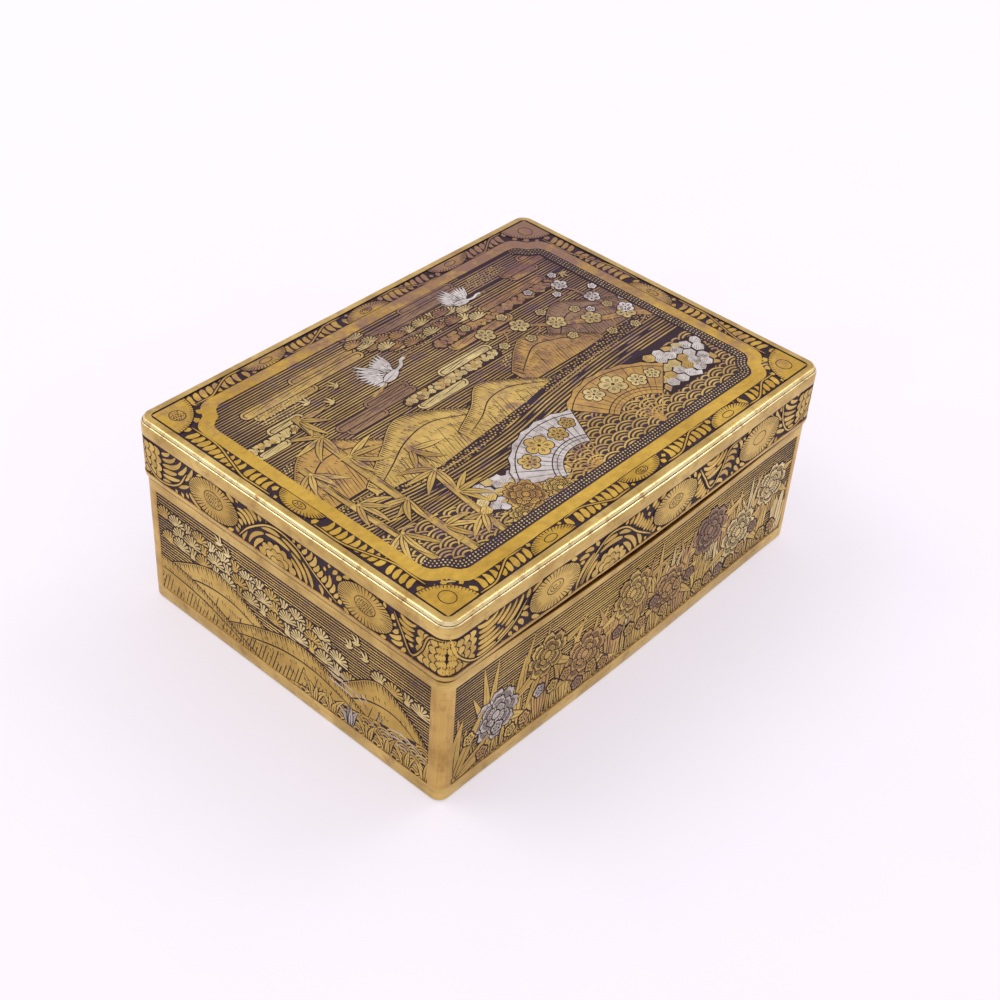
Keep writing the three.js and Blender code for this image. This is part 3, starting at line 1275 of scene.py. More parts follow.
    def fill(self, flow: Callable[[Point], float], length: float, low: Point, high: Point) -> None:
        """Fills what is left with short crescents.

        Args:
            flow: Gives the direction of the crescents at a point, in degrees.
            length: Their greatest length.
            low: Lowest corner of the place to fill.
            high: Highest corner.
        """
        us, vs = (np.arange(low[k], high[k], self.fineness) for k in (0, 1))
        spots = [(u, v) for u in us for v in vs]
        self.inlay.rng.shuffle(spots)
        for size in (length, length * 0.55, length * 0.34):
            for spot in spots:
                if not self.plot.free(np.array([spot]))[0]:
                    continue
                reach = ray(flow(spot) + self.inlay.rng.uniform(-14, 14), size / 2)
                path = bow_between(spot - reach, spot + reach, 0.16, 12)
                if self.plot.free(path).mean() > 0.72:
                    self.family([path], shortest=0.26)


class Ring(Enum):
    """What the middle of a chrysanthemum holds."""

    PLAIN = "plain"
    STIPPLED = "stippled"
    WOUND = "wound"


@dataclass
class Chrysanthemum:
    """A foil chrysanthemum, whole or cut by the edge that it stands on.

    Args:
        centre: The middle of its petals' lines.
        rx: Half its width.
        ry: Half its height.
        start: First angle of its petals in degrees.
        end: Last angle.
        lowest: It is cut below this height.
        highest: It is cut above this height.
        ring: What its middle holds.
        eye: The middle of its ring, from the centre.
        eye_size: Half the ring's width and height.
        vein: The length of its petals' lines, as a share of its radius.
        pitch: The width of a petal at the rim.
    """

    centre: Point
    rx: float
    ry: float
    start: float = 0.0
    end: float = 360.0
    lowest: float = -1e3
    highest: float = 1e3
    ring: Ring = Ring.PLAIN
    eye: Point = (0.0, 0.0)
    eye_size: Point = (1.6, 1.1)
    vein: float = 0.3
    pitch: float = 0.55

    @property
    def petals(self) -> int:
        """How many petals its rim holds."""
        rim = span_of(arc(self.centre, self.rx, self.ry, self.start, self.end, 40))
        return max(3, round(rim / self.pitch))

    def outline(self) -> Path:
        """The flower's outline with the tips of its petals.

        Returns:
            The outline, held between the lowest and the highest line.
        """
        petals = self.petals
        share = np.linspace(0, 1, 4 * petals + 1)
        turn = np.radians(self.start + (self.end - self.start) * share)
        wave = 1 - 0.022 * np.abs(np.cos(share * petals * math.pi))
        rim = np.column_stack([np.cos(turn) * self.rx * wave, np.sin(turn) * self.ry * wave]) + self.centre
        if self.end - self.start >= 359:
            rim = rim[:-1]
        elif self.end - self.start < 179:
            rim = np.vstack([rim, [self.centre]])
        return np.column_stack([rim[:, 0], np.clip(rim[:, 1], self.lowest, self.highest)])

    def lay(self, inlay: Inlay, tier: float, move: Callable[[Path], Path] = lambda path: path) -> None:
        """Lays the flower.

        Args:
            inlay: Where it is laid.
            tier: Its tier.
            move: Takes its own points to the chart's.
        """
        inlay.plate(move(self.outline()), tier, Finish.GOLD, halo=0.2)
        centre, petals = np.array(self.centre), self.petals
        for k in range(petals + 1):
            spoke = ray(self.start + (self.end - self.start) * k / petals) * (self.rx, self.ry)
            tip = centre + spoke * 0.97
            if not self.lowest + 0.12 < tip[1] < self.highest - 0.12:
                hold = self.highest - 0.1 if tip[1] > centre[1] else self.lowest + 0.1
                share = (hold - centre[1]) / (spoke[1] or 1e-9)
                if not 0.55 < share < 0.97:
                    continue
                tip = centre + spoke * share
            foot = centre + spoke * (1 - self.vein * inlay.rng.uniform(0.75, 1.15))
            if math.dist(tip, foot) > 0.25:
                inlay.engrave(move(np.array([tip, (tip + foot) / 2, foot])), 0.2, tier + 1)
        self._lay_eye(inlay, tier + 1, move)

    def _lay_eye(self, inlay: Inlay, tier: float, move: Callable[[Path], Path]) -> None:
        """Lays the ring in the middle of the flower.

        Args:
            inlay: Where it is laid.
            tier: Its tier.
            move: Takes its own points to the chart's.
        """
        eye = (self.centre[0] + self.eye[0], self.centre[1] + self.eye[1])
        inlay.engrave(move(arc(eye, *self.eye_size, 0, 360, 22)[:-1]), 0.15, tier, Taper.NONE, closed=True)
        if self.ring is Ring.STIPPLED:
            inner = arc(eye, self.eye_size[0] - 0.22, self.eye_size[1] - 0.22, 0, 360, 16)[:-1]
            inlay.stipple(move(inner), 0.44, 0.14, tier, Finish.ENGRAVED)
        if self.ring is Ring.WOUND:
            for share in (0.3, 0.62):
                rx, ry = np.array(self.eye_size) * share
                turn = arc(eye, rx, ry, 200 * share, 200 * share + 280, 14)
                inlay.engrave(move(turn), 0.13, tier, Taper.NONE)


@dataclass(frozen=True)
class Row:
    """One line of a shell's section, which runs all round the box.

    Args:
        inset: How far inside the outline it lies.
        height: Its height.
        sunk: How much further in it lies where a panel is sunk.
        follows: How much of the finger opening's curve it follows, from 0 to 1.
        finish: The finish of the strip up to the next row.
    """

    inset: float
    height: float
    sunk: float = 0.0
    follows: float = 0.0
    finish: Finish = Finish.GILT


Station = tuple[Side, float, float, bool]


@dataclass
class Shell:
    """A ring of wall built from rows, with sunk panels and a finger opening in the front.

    Args:
        outline: Its outline.
        rows: Its section, going up outside and down inside.
        panel_half: Half the panels' length on the long and the short sides, None for all round.
        opening: Half the opening's length and its rise, negative where it goes down.
        wobble: How uneven the hand has left it.
        bow_depth: How far in the front's bow has faded away.
        corner_steps: How many facets turn a corner.
        pitch: The greatest width of a facet along a side.
    """

    outline: Outline
    rows: list[Row]
    panel_half: Optional[Point]
    opening: Point
    wobble: float = 0.02
    bow_depth: float = 1.5
    corner_steps: int = 10
    pitch: float = 1.6

    def _stations(self) -> list[Station]:
        """The upright lines of the shell.

        Returns:
            For each its side, the place along it, the angle round the corner, and whether it is in a panel.
        """
        found: list[Station] = []
        for side in Side:
            straight = self.outline.straight(side)
            places = set(np.round(np.linspace(-straight, straight, 2 * int(straight / self.pitch) + 1), 4))
            edge = 1e9
            if self.panel_half:
                edge = self.panel_half[0 if side.is_long else 1]
                places = {p for p in places if abs(abs(p) - edge) > 0.3}
                places |= {sign * (edge - slant) for sign in (-1, 1) for slant in (0.0, 0.1)}
            if side is Side.FRONT:
                places |= {sign * self.opening[0] for sign in (-1, 1)}
            found.extend((side, p, 0.0, abs(p) < edge - 0.05) for p in sorted(places))
            steps = range(1, self.corner_steps)
            turns = [90.0 * k / self.corner_steps for k in steps]
            found.extend((side, straight, turn, self.panel_half is None) for turn in turns)
        return found

    def _point(self, station: Station, row: Row) -> tuple[float, float, float]:
        """Where a row crosses a station.

        Args:
            station: The station.
            row: The row.

        Returns:
            The point.
        """
        side, along, angle, in_panel = station
        inset = row.inset + (row.sunk if in_panel else 0.0)
        radius = max(self.outline.radius - inset, 0.02)
        spare = max(inset + 0.02 - self.outline.radius, 0.0)
        straight = self.outline.straight(side) - spare
        turn = math.radians(angle)
        u = along * straight / self.outline.straight(side) + radius * math.sin(turn)
        out = self.outline.distance(side) - self.outline.radius - spare + radius * math.cos(turn)
        height = row.height
        half, rise = self.opening
        if angle == 0:
            bow = float(self.outline.bulge(side, np.array([along]))[0])
            out += bow * (1 - min(inset / self.bow_depth, 1))
            if side is Side.FRONT and abs(along) < half:
                height += row.follows * rise * (1 - (along / half) ** 2)
        place = side.along * u + side.outward * out
        shift = self.wobble * noise.noise(Vector((place[0] * 0.21, place[1] * 0.21, height * 0.35)))
        place = place + (side.outward * math.cos(turn) + side.along * math.sin(turn)) * shift
        return float(place[0]), float(place[1]), height + shift * 0.5 * (row.height > 1)

    def piece(self, workshop: Workshop, name: str) -> bpy.types.Object:
        """Builds the shell as one closed mesh.

        Args:
            workshop: Where it is made.
            name: Its name.

        Returns:
            The object.
        """
        stations = self._stations()
        verts = np.array([self._point(s, r) for r in self.rows for s in stations])
        finishes = []
        for row, following in zip(self.rows, self.rows[1:] + self.rows[:1]):
            for a, b in zip(stations, stations[1:] + stations[:1]):
                panel = a[3] and b[3]
                if row.sunk > 0 and following.sunk > 0:
                    finishes.append(Finish.GROUND if panel else Finish.PILLAR)
                else:
                    # The steps down into a panel get dark brown gilt: painted shade in the recess.
                    finishes.append(Finish.WORN if panel and row.sunk != following.sunk else row.finish)
        return workshop.piece(name, verts, tube_faces(len(stations), len(self.rows)), finishes, crease=32.0)


@dataclass
class BodyWalls:
    """The body's four walls in one ring, gilt, with a sunk dark panel in each.

    Args:
        sizes: The box's sizes.
        wall: How thick they are.
        foot_round: The rounding of their foot.
        depth: How deep a panel is sunk.
        end_margin: From the end of a long and of a short side to its panel.
        top_margin: From the top to the panels.
        foot_margin: From the foot to the panels.
        opening: Half the length of the finger opening, and its rise.
        ledge: How deep and how high the ledge is that holds the base plate.
        worn: The width of the strip of painted shade, dark brown gilt, along the top edge by the seam.
    """

    sizes: BoxSizes
    wall: float = 1.6
    foot_round: float = 0.5
    depth: float = 0.15
    end_margin: Point = (2.3, 2.7)
    top_margin: float = 2.0
    foot_margin: float = 2.7
    opening: Point = (40.0, -0.8)
    ledge: Point = (1.0, 1.0)
    worn: float = 0.16

    @property
    def panel_low(self) -> float:
        """The lower edge of the panels."""
        return self.foot_margin

    @property
    def panel_high(self) -> float:
        """The upper edge of the panels."""
        return self.sizes.body_top - self.top_margin

    def panel_half(self, side: Side) -> float:
        """Half the length of a side's panel."""
        return self.sizes.body.half(side) - self.end_margin[0 if side.is_long else 1]

    def rows(self) -> list[Row]:
        """The wall's section.

        Returns:
            Its rows, going up outside and down inside.
        """
        top, r = self.sizes.body_top, self.foot_round
        turns = np.linspace(0, math.pi / 2, 5)
        foot = [Row(r - r * math.sin(t), r - r * math.cos(t)) for t in turns]
        # The lowest strips of the foot get dark brown gilt: painted shade where the wall meets the floor.
        foot[:2] = [replace(row, finish=Finish.WORN) for row in foot[:2]]
        low, high, depth = self.panel_low, self.panel_high, self.depth
        worn = self.worn
        return [
            *foot,
            Row(0, (r + low) / 2),
            Row(0, low),
            Row(0, low + 0.08, depth),
            *[Row(0, h, depth) for h in np.linspace(low + 0.08, high - 0.08, 8)[1:-1]],
            Row(0, high - 0.08, depth),
            Row(0, high),
            Row(0, (high + top) / 2, follows=0.3),
            # The top edge by the seam gets dark brown gilt: painted shade.
            Row(0, top - worn, follows=1, finish=Finish.WORN),
            Row(worn * 0.3, top - worn * 0.3, follows=1, finish=Finish.WORN),
            Row(worn, top, follows=1, finish=Finish.WORN),
            Row(self.wall - 0.1, top, follows=1, finish=Finish.LINING),
            Row(self.wall, top - 0.1, follows=1, finish=Finish.LINING),
            Row(self.wall, self.ledge[1], finish=Finish.GROUND),
            Row(self.ledge[0], self.ledge[1], finish=Finish.GROUND),
            Row(self.ledge[0], 0.0, finish=Finish.GROUND),
        ]

    def build(self, workshop: Workshop) -> None:
        """Builds and seats the walls.

        Args:
            workshop: Where they are made.
        """
        half = (self.panel_half(Side.FRONT), self.panel_half(Side.LEFT))
        shell = Shell(self.sizes.body, self.rows(), half, self.opening)
        workshop.seat(shell.piece(workshop, "body_shell"), Body.BODY, Slot.GILT_IRON, "body_walls")


@dataclass
class LidRim:
    """The lid's sides and its rounded top edge, with a dark sunk band all round.

    Args:
        sizes: The box's sizes.
        tuck: How far its lower edge is drawn in, and over what height.
        crown: The section of its top edge, as (inwards, down from the top).
        line: Which strip of the crown, in the V between its two rounds, gets the engraved line's near-black
            colour as painted shade.
        rubbed: Which strips of it are paler gilt, partly wear on the edge and partly a painted highlight.
        depth: How deep the band is sunk.
        band_foot: From the lower edge to the band.
        band_height: The band's height.
        groove: Where the groove round the plate starts, and its depth.
        inner: The thickness of the rim with the ledge for the plate.
        opening: Half the length of the finger opening, and its rise.
    """

    sizes: BoxSizes
    tuck: Point = (0.5, 1.3)
    crown: tuple[Point, ...] = (
        (0.0, 1.15), (0.03, 0.92), (0.1, 0.76), (0.2, 0.66), (0.27, 0.64), (0.36, 0.6), (0.38, 0.44),
        (0.43, 0.26), (0.52, 0.13), (0.66, 0.05), (0.84, 0.0),
    )
    line: int = 4
    rubbed: tuple[int, ...] = (2, 3, 5, 6, 7, 8)
    depth: float = 0.15
    band_foot: float = 1.2
    band_height: float = 7.4
    groove: Point = (1.75, 0.3)
    inner: float = 1.95
    opening: Point = (40.0, 0.3)

    @property
    def band_low(self) -> float:
        """The lower edge of the ornament band."""
        return self.sizes.lid_bottom + self.band_foot

    @property
    def band_high(self) -> float:
        """The upper edge of the ornament band."""
        return self.band_low + self.band_height

    def rows(self) -> list[Row]:
        """The rim's section.

        Returns:
            Its rows, going up outside and down inside.
        """
        bottom, top = self.sizes.lid_bottom, self.sizes.lid_top
        draw, rise = self.tuck
        turns = np.linspace(0, math.pi / 2, 6)
        # The lowest tucked strips get dark brown gilt: painted shade by the seam.
        tucked = [
            Row(
                draw * (1 - math.sin(t)), bottom + rise * (1 - math.cos(t)), follows=math.cos(t),
                finish=Finish.WORN if t < 0.6 else Finish.GILT,
            )
            for t in turns[:-1]
        ]
        crown = [Row(inset, top - drop) for inset, drop in self.crown]
        # The crests get paler gilt: partly wear, partly a painted highlight.
        for k in self.rubbed:
            crown[k] = replace(crown[k], finish=Finish.RUBBED)
        # The V between the crown's two rounds is painted near-black: painted shade in the crease.
        crown[self.line] = replace(crown[self.line], finish=Finish.ENGRAVED)
        low, high, depth = self.band_low, self.band_high, self.depth
        edge, floor = self.groove
        return [
            # The lower edge by the seam gets dark brown gilt: painted shade.
            Row(draw + 0.25, bottom, follows=1, finish=Finish.WORN),
            Row(draw + 0.05, bottom + 0.03, follows=1, finish=Finish.WORN),
            *[row for row in tucked if row.height < low - 0.1][1:],
            Row(0.005, low, follows=0),
            Row(0.0, low + 0.07, depth),
            *[Row(0.0, h, depth) for h in np.linspace(low + 0.07, high - 0.07, 5)[1:-1]],
            Row(0.0, high - 0.07, depth),
            Row(0.0, high),
            *crown,
            Row(edge - 0.05, top, finish=Finish.ENGRAVED),
            Row(edge, top - 0.06, finish=Finish.ENGRAVED),
            Row(edge, top - floor, finish=Finish.GROUND),
            Row(self.inner, top - floor, finish=Finish.LINING),
            Row(self.inner, bottom, follows=1, finish=Finish.LINING),
        ]

    def build(self, workshop: Workshop) -> None:
        """Builds and seats the rim.

        Args:
            workshop: Where it is made.
        """
        shell = Shell(self.sizes.lid, self.rows(), None, self.opening)
        workshop.seat(shell.piece(workshop, "lid_shell"), Body.LID, Slot.GILT_IRON, "lid_rim")


@dataclass
class Hinge:
    """Five knuckles on a pin along the back seam.

    Args:
        sizes: The box's sizes.
        count: How many knuckles.
        gap: The gap between two of them.
        pin: The pin's radius.
        clearance: How much wider their bore is.
        soft: How far their edges are broken.
        steps: How many facets turn round them.
    """

    sizes: BoxSizes
    count: int = 5
    gap: float = 0.15
    pin: float = 0.36
    clearance: float = 0.06
    soft: float = 0.08
    steps: int = 32

    def _knuckle(self, start: float, end: float) -> np.ndarray:
        """The points of one knuckle, turned about the hinge axis.

        Args:
            start: Where it starts along the axis.
            end: Where it ends.

        Returns:
            The points, ring by ring.
        """
        y, z = self.sizes.hinge_place
        bore, r, soft = self.pin + self.clearance, self.sizes.hinge_radius, self.soft
        first = [(start, bore), (start, r - soft), (start + soft, r)]
        last = [(end - soft, r), (end, r - soft), (end, bore)]
        rings = []
        for along, radius in reversed(first + last):
            ring = arc((y, z), radius, radius, 0, 360, self.steps)[:-1]
            rings.append(np.column_stack([np.full(self.steps, along), ring]))
        return np.vstack(rings)

    def build(self, workshop: Workshop) -> None:
        """Builds the knuckles, and dresses the pin.

        Args:
            workshop: Where they are made.
        """
        length = 2 * self.sizes.hinge_half
        knuckle = (length - (self.count - 1) * self.gap) / self.count
        for place in range(self.count):
            start = place * (knuckle + self.gap) - length / 2
            verts = self._knuckle(start, start + knuckle)
            faces = tube_faces(self.steps, len(verts) // self.steps)
            body = Body.LID if place % 2 else Body.BODY
            made = workshop.piece(f"knuckle_{place + 1}", verts, faces, [Finish.HINGE] * len(faces))
            workshop.seat(made, body, Slot.HINGE_METAL, f"hinge_knuckle_{body.value}_{place + 1}")
        workshop.dress("hinge_pin", Finish.HINGE)


@dataclass
class GoldFrame:
    """The plain gold frame on the lid, with two lobes and a cusp in each corner.

    Args:
        sizes: The box's sizes.
        width: How broad it is.
        lobe: Where its outer lobes start, from the corner.
        cusp: Where its outer cusps lie, from both sides.
        inner_lobe: Where its inner lobes start.
        inner_cusp: Where its inner cusps lie.
        thickness: How far it stands out from the ground.
        edge: How far its edges are broken.
    """

    sizes: BoxSizes
    width: float = 2.2
    lobe: float = 6.5
    cusp: float = 2.8
    inner_lobe: float = 5.2
    inner_cusp: float = 2.35
    thickness: float = 0.12
    edge: float = 0.05

    @staticmethod
    def cusped(half_x: float, half_y: float, lobe: float, cusp: float) -> Path:
        """A rectangle whose corners are drawn in to a cusp between two lobes.

        Args:
            half_x: Half its length.
            half_y: Half its width.
            lobe: Where the lobes start, from the corner.
            cusp: Where the cusp lies, from both sides.

        Returns:
            The outline, anticlockwise.
        """
        tip = np.array([half_x - cusp, half_y - cusp])
        start = np.array([half_x, half_y - lobe])
        one = np.array([half_x, half_y - lobe + (lobe - cusp) * 0.7])
        two = tip + (cusp * 0.42, -cusp * 0.26)
        t = np.linspace(0, 1, 13)[:, None]
        first = start * (1 - t) ** 3 + 3 * one * t * (1 - t) ** 2 + 3 * two * t**2 * (1 - t) + tip * t**3
        shift = half_x - half_y
        second = np.column_stack([first[:, 1] + shift, first[:, 0] - shift])[::-1][1:]
        corner = np.vstack([first, second])
        quarters = [corner, (corner * (-1, 1))[::-1], corner * (-1, -1), (corner * (1, -1))[::-1]]
        return np.vstack(quarters)

    def outer(self) -> Path:
        """The frame's outer outline."""
        return self.cusped(*self.sizes.frame_half, self.lobe, self.cusp)

    def inner(self) -> Path:
        """The frame's inner outline."""
        x, y = self.sizes.frame_half
        return self.cusped(x - self.width, y - self.width, self.inner_lobe, self.inner_cusp)

    def build(self, workshop: Workshop) -> None:
        """Builds and seats the frame.

        Args:
            workshop: Where it is made.
        """
        foot = self.sizes.ground_top + SUNK
        top = self.sizes.ground_top + self.thickness
        section = ((0, foot), (0, top - self.edge), (self.edge, top))
        outer, inner = self.outer(), self.inner()
        verts = []
        for outline, sign, rows in ((outer, 1, section), (inner, -1, section[::-1])):
            side = normals(outline, closed=True)
            for draw, z in rows:
                verts.append(np.column_stack([outline + side * sign * draw, np.full(len(outline), z)]))
        faces = tube_faces(len(outer), len(verts))
        made = workshop.piece("gold_frame", np.vstack(verts), faces, [Finish.GOLD] * len(faces))
        workshop.seat(made, Body.LID, Slot.GOLD, "lid_frame_foil")


@dataclass
class LidBorder:
    """The border between the groove and the gold frame: chrysanthemums, vines and crescents.

    Args:
        sizes: The box's sizes.
        gold_frame: The frame inside it.
        margin: How far its flowers stay from the groove and the frame.
        corner_radius: The radius of the flowers in the corners.
        half_width: Half the width of the flowers between them.
        width: A crescent's width.
        gap: The dark gap beside a crescent.
        vine_shape: A vine's course between two flowers, as shares of the way along and across.
    """

    sizes: BoxSizes
    gold_frame: GoldFrame
    margin: float = 0.1
    corner_radius: float = 6.4
    half_width: float = 4.6
    width: float = 1.0
    gap: float = 0.25
    vine_shape: tuple[Point, ...] = (
        (0.0, 1.0), (0.28, 1.0), (0.5, 0.5), (0.7, 0.0), (0.86, 0.0), (1.0, 0.0),
    )

    @property
    def depth(self) -> float:
        """The border's width, from the plate's edge to the frame."""
        return self.sizes.plate.half_x - self.sizes.frame_half[0]

    def flowers(self, side: Side) -> list[tuple[str, float, bool]]:
        """The chrysanthemums of a side.

        Args:
            side: The side.

        Returns:
            For each its node, its place along the side, and whether it stands on the frame.
        """
        count = 3 if side.is_long else 1
        found = []
        for number in range(1, count + 1):
            node = f"border_flower_{side.name.lower()}_{number}"
            found.append((node, place_along(node, side), 2 * number == count + 1))
        return found

    def _half_flower(self, place: float, from_inside: bool, ring: Ring) -> Chrysanthemum:
        """A chrysanthemum of the border in the side's own measures, (along, inwards).

        Args:
            place: Its place along the side.
            from_inside: Whether it stands on the frame.
            ring: What its middle holds.

        Returns:
            The flower.
        """
        rise = self.depth - 2 * self.margin
        centre, start, eye = (place, self.margin), 0.0, (0.0, 0.95)
        if from_inside:
            centre, start, eye = (place, self.depth - self.margin), 180.0, (0.0, -0.95)
        return Chrysanthemum(
            centre, self.half_width, rise, start, start + 180, ring=ring, eye=eye, eye_size=(1.25, 0.62)
        )

    def _corner_flower(self, sx: int, sy: int) -> Chrysanthemum:
        """The quarter chrysanthemum of one corner.

        Args:
            sx: On which end of the box, -1 or 1.
            sy: In front, -1, or at the back, 1.

        Returns:
            The flower.
        """
        centre = (sx * (self.sizes.plate.half_x - self.margin), sy * (self.sizes.plate.half_y - self.margin))
        start = math.degrees(math.atan2(-sy, -sx)) - 45
        ring = Ring.STIPPLED if (sx, sy) == (-1, 1) else Ring.PLAIN
        return Chrysanthemum(
            centre, self.corner_radius, self.corner_radius, start, start + 90, ring=ring,
            eye=(-sx * 2.75, -sy * 2.75), eye_size=(1.25, 1.4), vein=0.11,
        )

    def build(self, workshop: Workshop) -> None:
        """Builds and seats the border.

        Args:
            workshop: Where it is made.
        """
        chart = TopChart(self.sizes.ground_top)
        half = (self.sizes.plate.half_x, self.sizes.plate.half_y)
        plot = Plot((-half[0], -half[1]), half)
        plot.take_inside(self.gold_frame.outer(), 0.07)
        edge = np.array([(-1, -1), (1, -1), (1, 1), (-1, 1), (-1, -1)]) * half
        plot.take_path(edge, self.margin + 0.03)
        for name, sx, sy in (
            ("front_left", -1, -1), ("front_right", 1, -1), ("back_right", 1, 1), ("back_left", -1, 1),
        ):
            flower = self._corner_flower(sx, sy)
            inlay = Inlay(chart, 11 + sx + 3 * sy)
            flower.lay(inlay, FLOWER_TIER)
            plot.take_inside(flower.outline(), 0.12)
            made = inlay.piece(workshop, f"corner_chrysanthemum_{name}")
            workshop.seat(made, Body.LID, Slot.GOLD, f"corner_flower_{name}")
        for side in Side:
            distance = self.sizes.plate.distance(side)
            rings = (Ring.PLAIN, Ring.WOUND, Ring.PLAIN) if side.is_long else (Ring.STIPPLED,)
            for number, (node, place, from_inside) in enumerate(self.flowers(side)):
                flower = self._half_flower(place, from_inside, rings[number])
                inlay = Inlay(chart, 31 + number + 7 * side.value)
                flower.lay(inlay, FLOWER_TIER, lambda path: side.on_top(path, distance))
                plot.take_inside(side.on_top(flower.outline(), distance), 0.12)
                made = inlay.piece(workshop, f"border_chrysanthemum_{side.name.lower()}_{number + 1}")
                workshop.seat(made, Body.LID, Slot.GOLD, node)
        for side in Side:
            self._scroll(workshop, chart, plot, side)

    def _vines(self, stops: Sequence[tuple[float, bool]]) -> list[Path]:
        """The vines from flower to flower along one side, as (along, inwards).

        Args:
            stops: The flowers' places along the side, and whether each stands on the frame.

        Returns:
            The points of each vine.
        """
        near, far = 0.22, self.depth - 0.22
        along, across = np.array(self.vine_shape).T
        found = []
        for (a, _), (b, b_inside) in zip(stops, stops[1:]):
            left = a + (1.6 if a == stops[0][0] else self.half_width + 0.15)
            right = b - (1.6 if b == stops[-1][0] else self.half_width + 0.15)
            low, high = (near, far) if b_inside else (far, near)
            found.append(np.column_stack([left + along * (right - left), low + across * (high - low)]))
        return found

    def _scroll(self, workshop: Workshop, chart: TopChart, plot: Plot, side: Side) -> None:
        """Lays the vines and crescents along one side.

        Args:
            workshop: Where they are made.
            chart: The top of the lid.
            plot: What is taken on it.
            side: The side.
        """
        inlay = Inlay(chart, 50 + side.value)
        work = ScrollWork(inlay, plot, self.width, self.gap, 0.24, shortest=0.55)
        distance, end = self.sizes.plate.distance(side), self.sizes.plate.half(side)
        stops = [(-end + self.corner_radius - 1.2, False)]
        stops += [(place, inside_one) for _, place, inside_one in self.flowers(side)]
        stops.append((end - self.corner_radius + 1.2, False))
        for place, from_inside in stops:
            first = self.half_width + 0.35 if abs(place) < end - self.corner_radius else 1.6
            lean = 0.8 if from_inside else -0.8
            for sign in (-1, 1):
                paths = []
                for k in range(9):
                    reach = first + k * (self.width + self.gap) * 1.06
                    a = (place + sign * (reach - lean), -0.3)
                    b = (place + sign * (reach + lean), self.depth + 0.9)
                    paths.append(side.on_top(bow_between(a, b, -0.44 * sign, 20), distance))
                work.family(paths, 7.0)
        for vine in self._vines(stops):
            work.stem(side.on_top(vine, distance))
        turn = math.degrees(math.atan2(*side.along[::-1]))
        low, high = side.on_top(np.array([(-end, 0.0), (end, 6.0)]), distance)
        work.fill(lambda p: turn + 75, 1.3, np.minimum(low, high), np.maximum(low, high))
        made = inlay.piece(workshop, f"border_scroll_{side.name.lower()}")
        workshop.seat(made, Body.LID, Slot.GOLD)


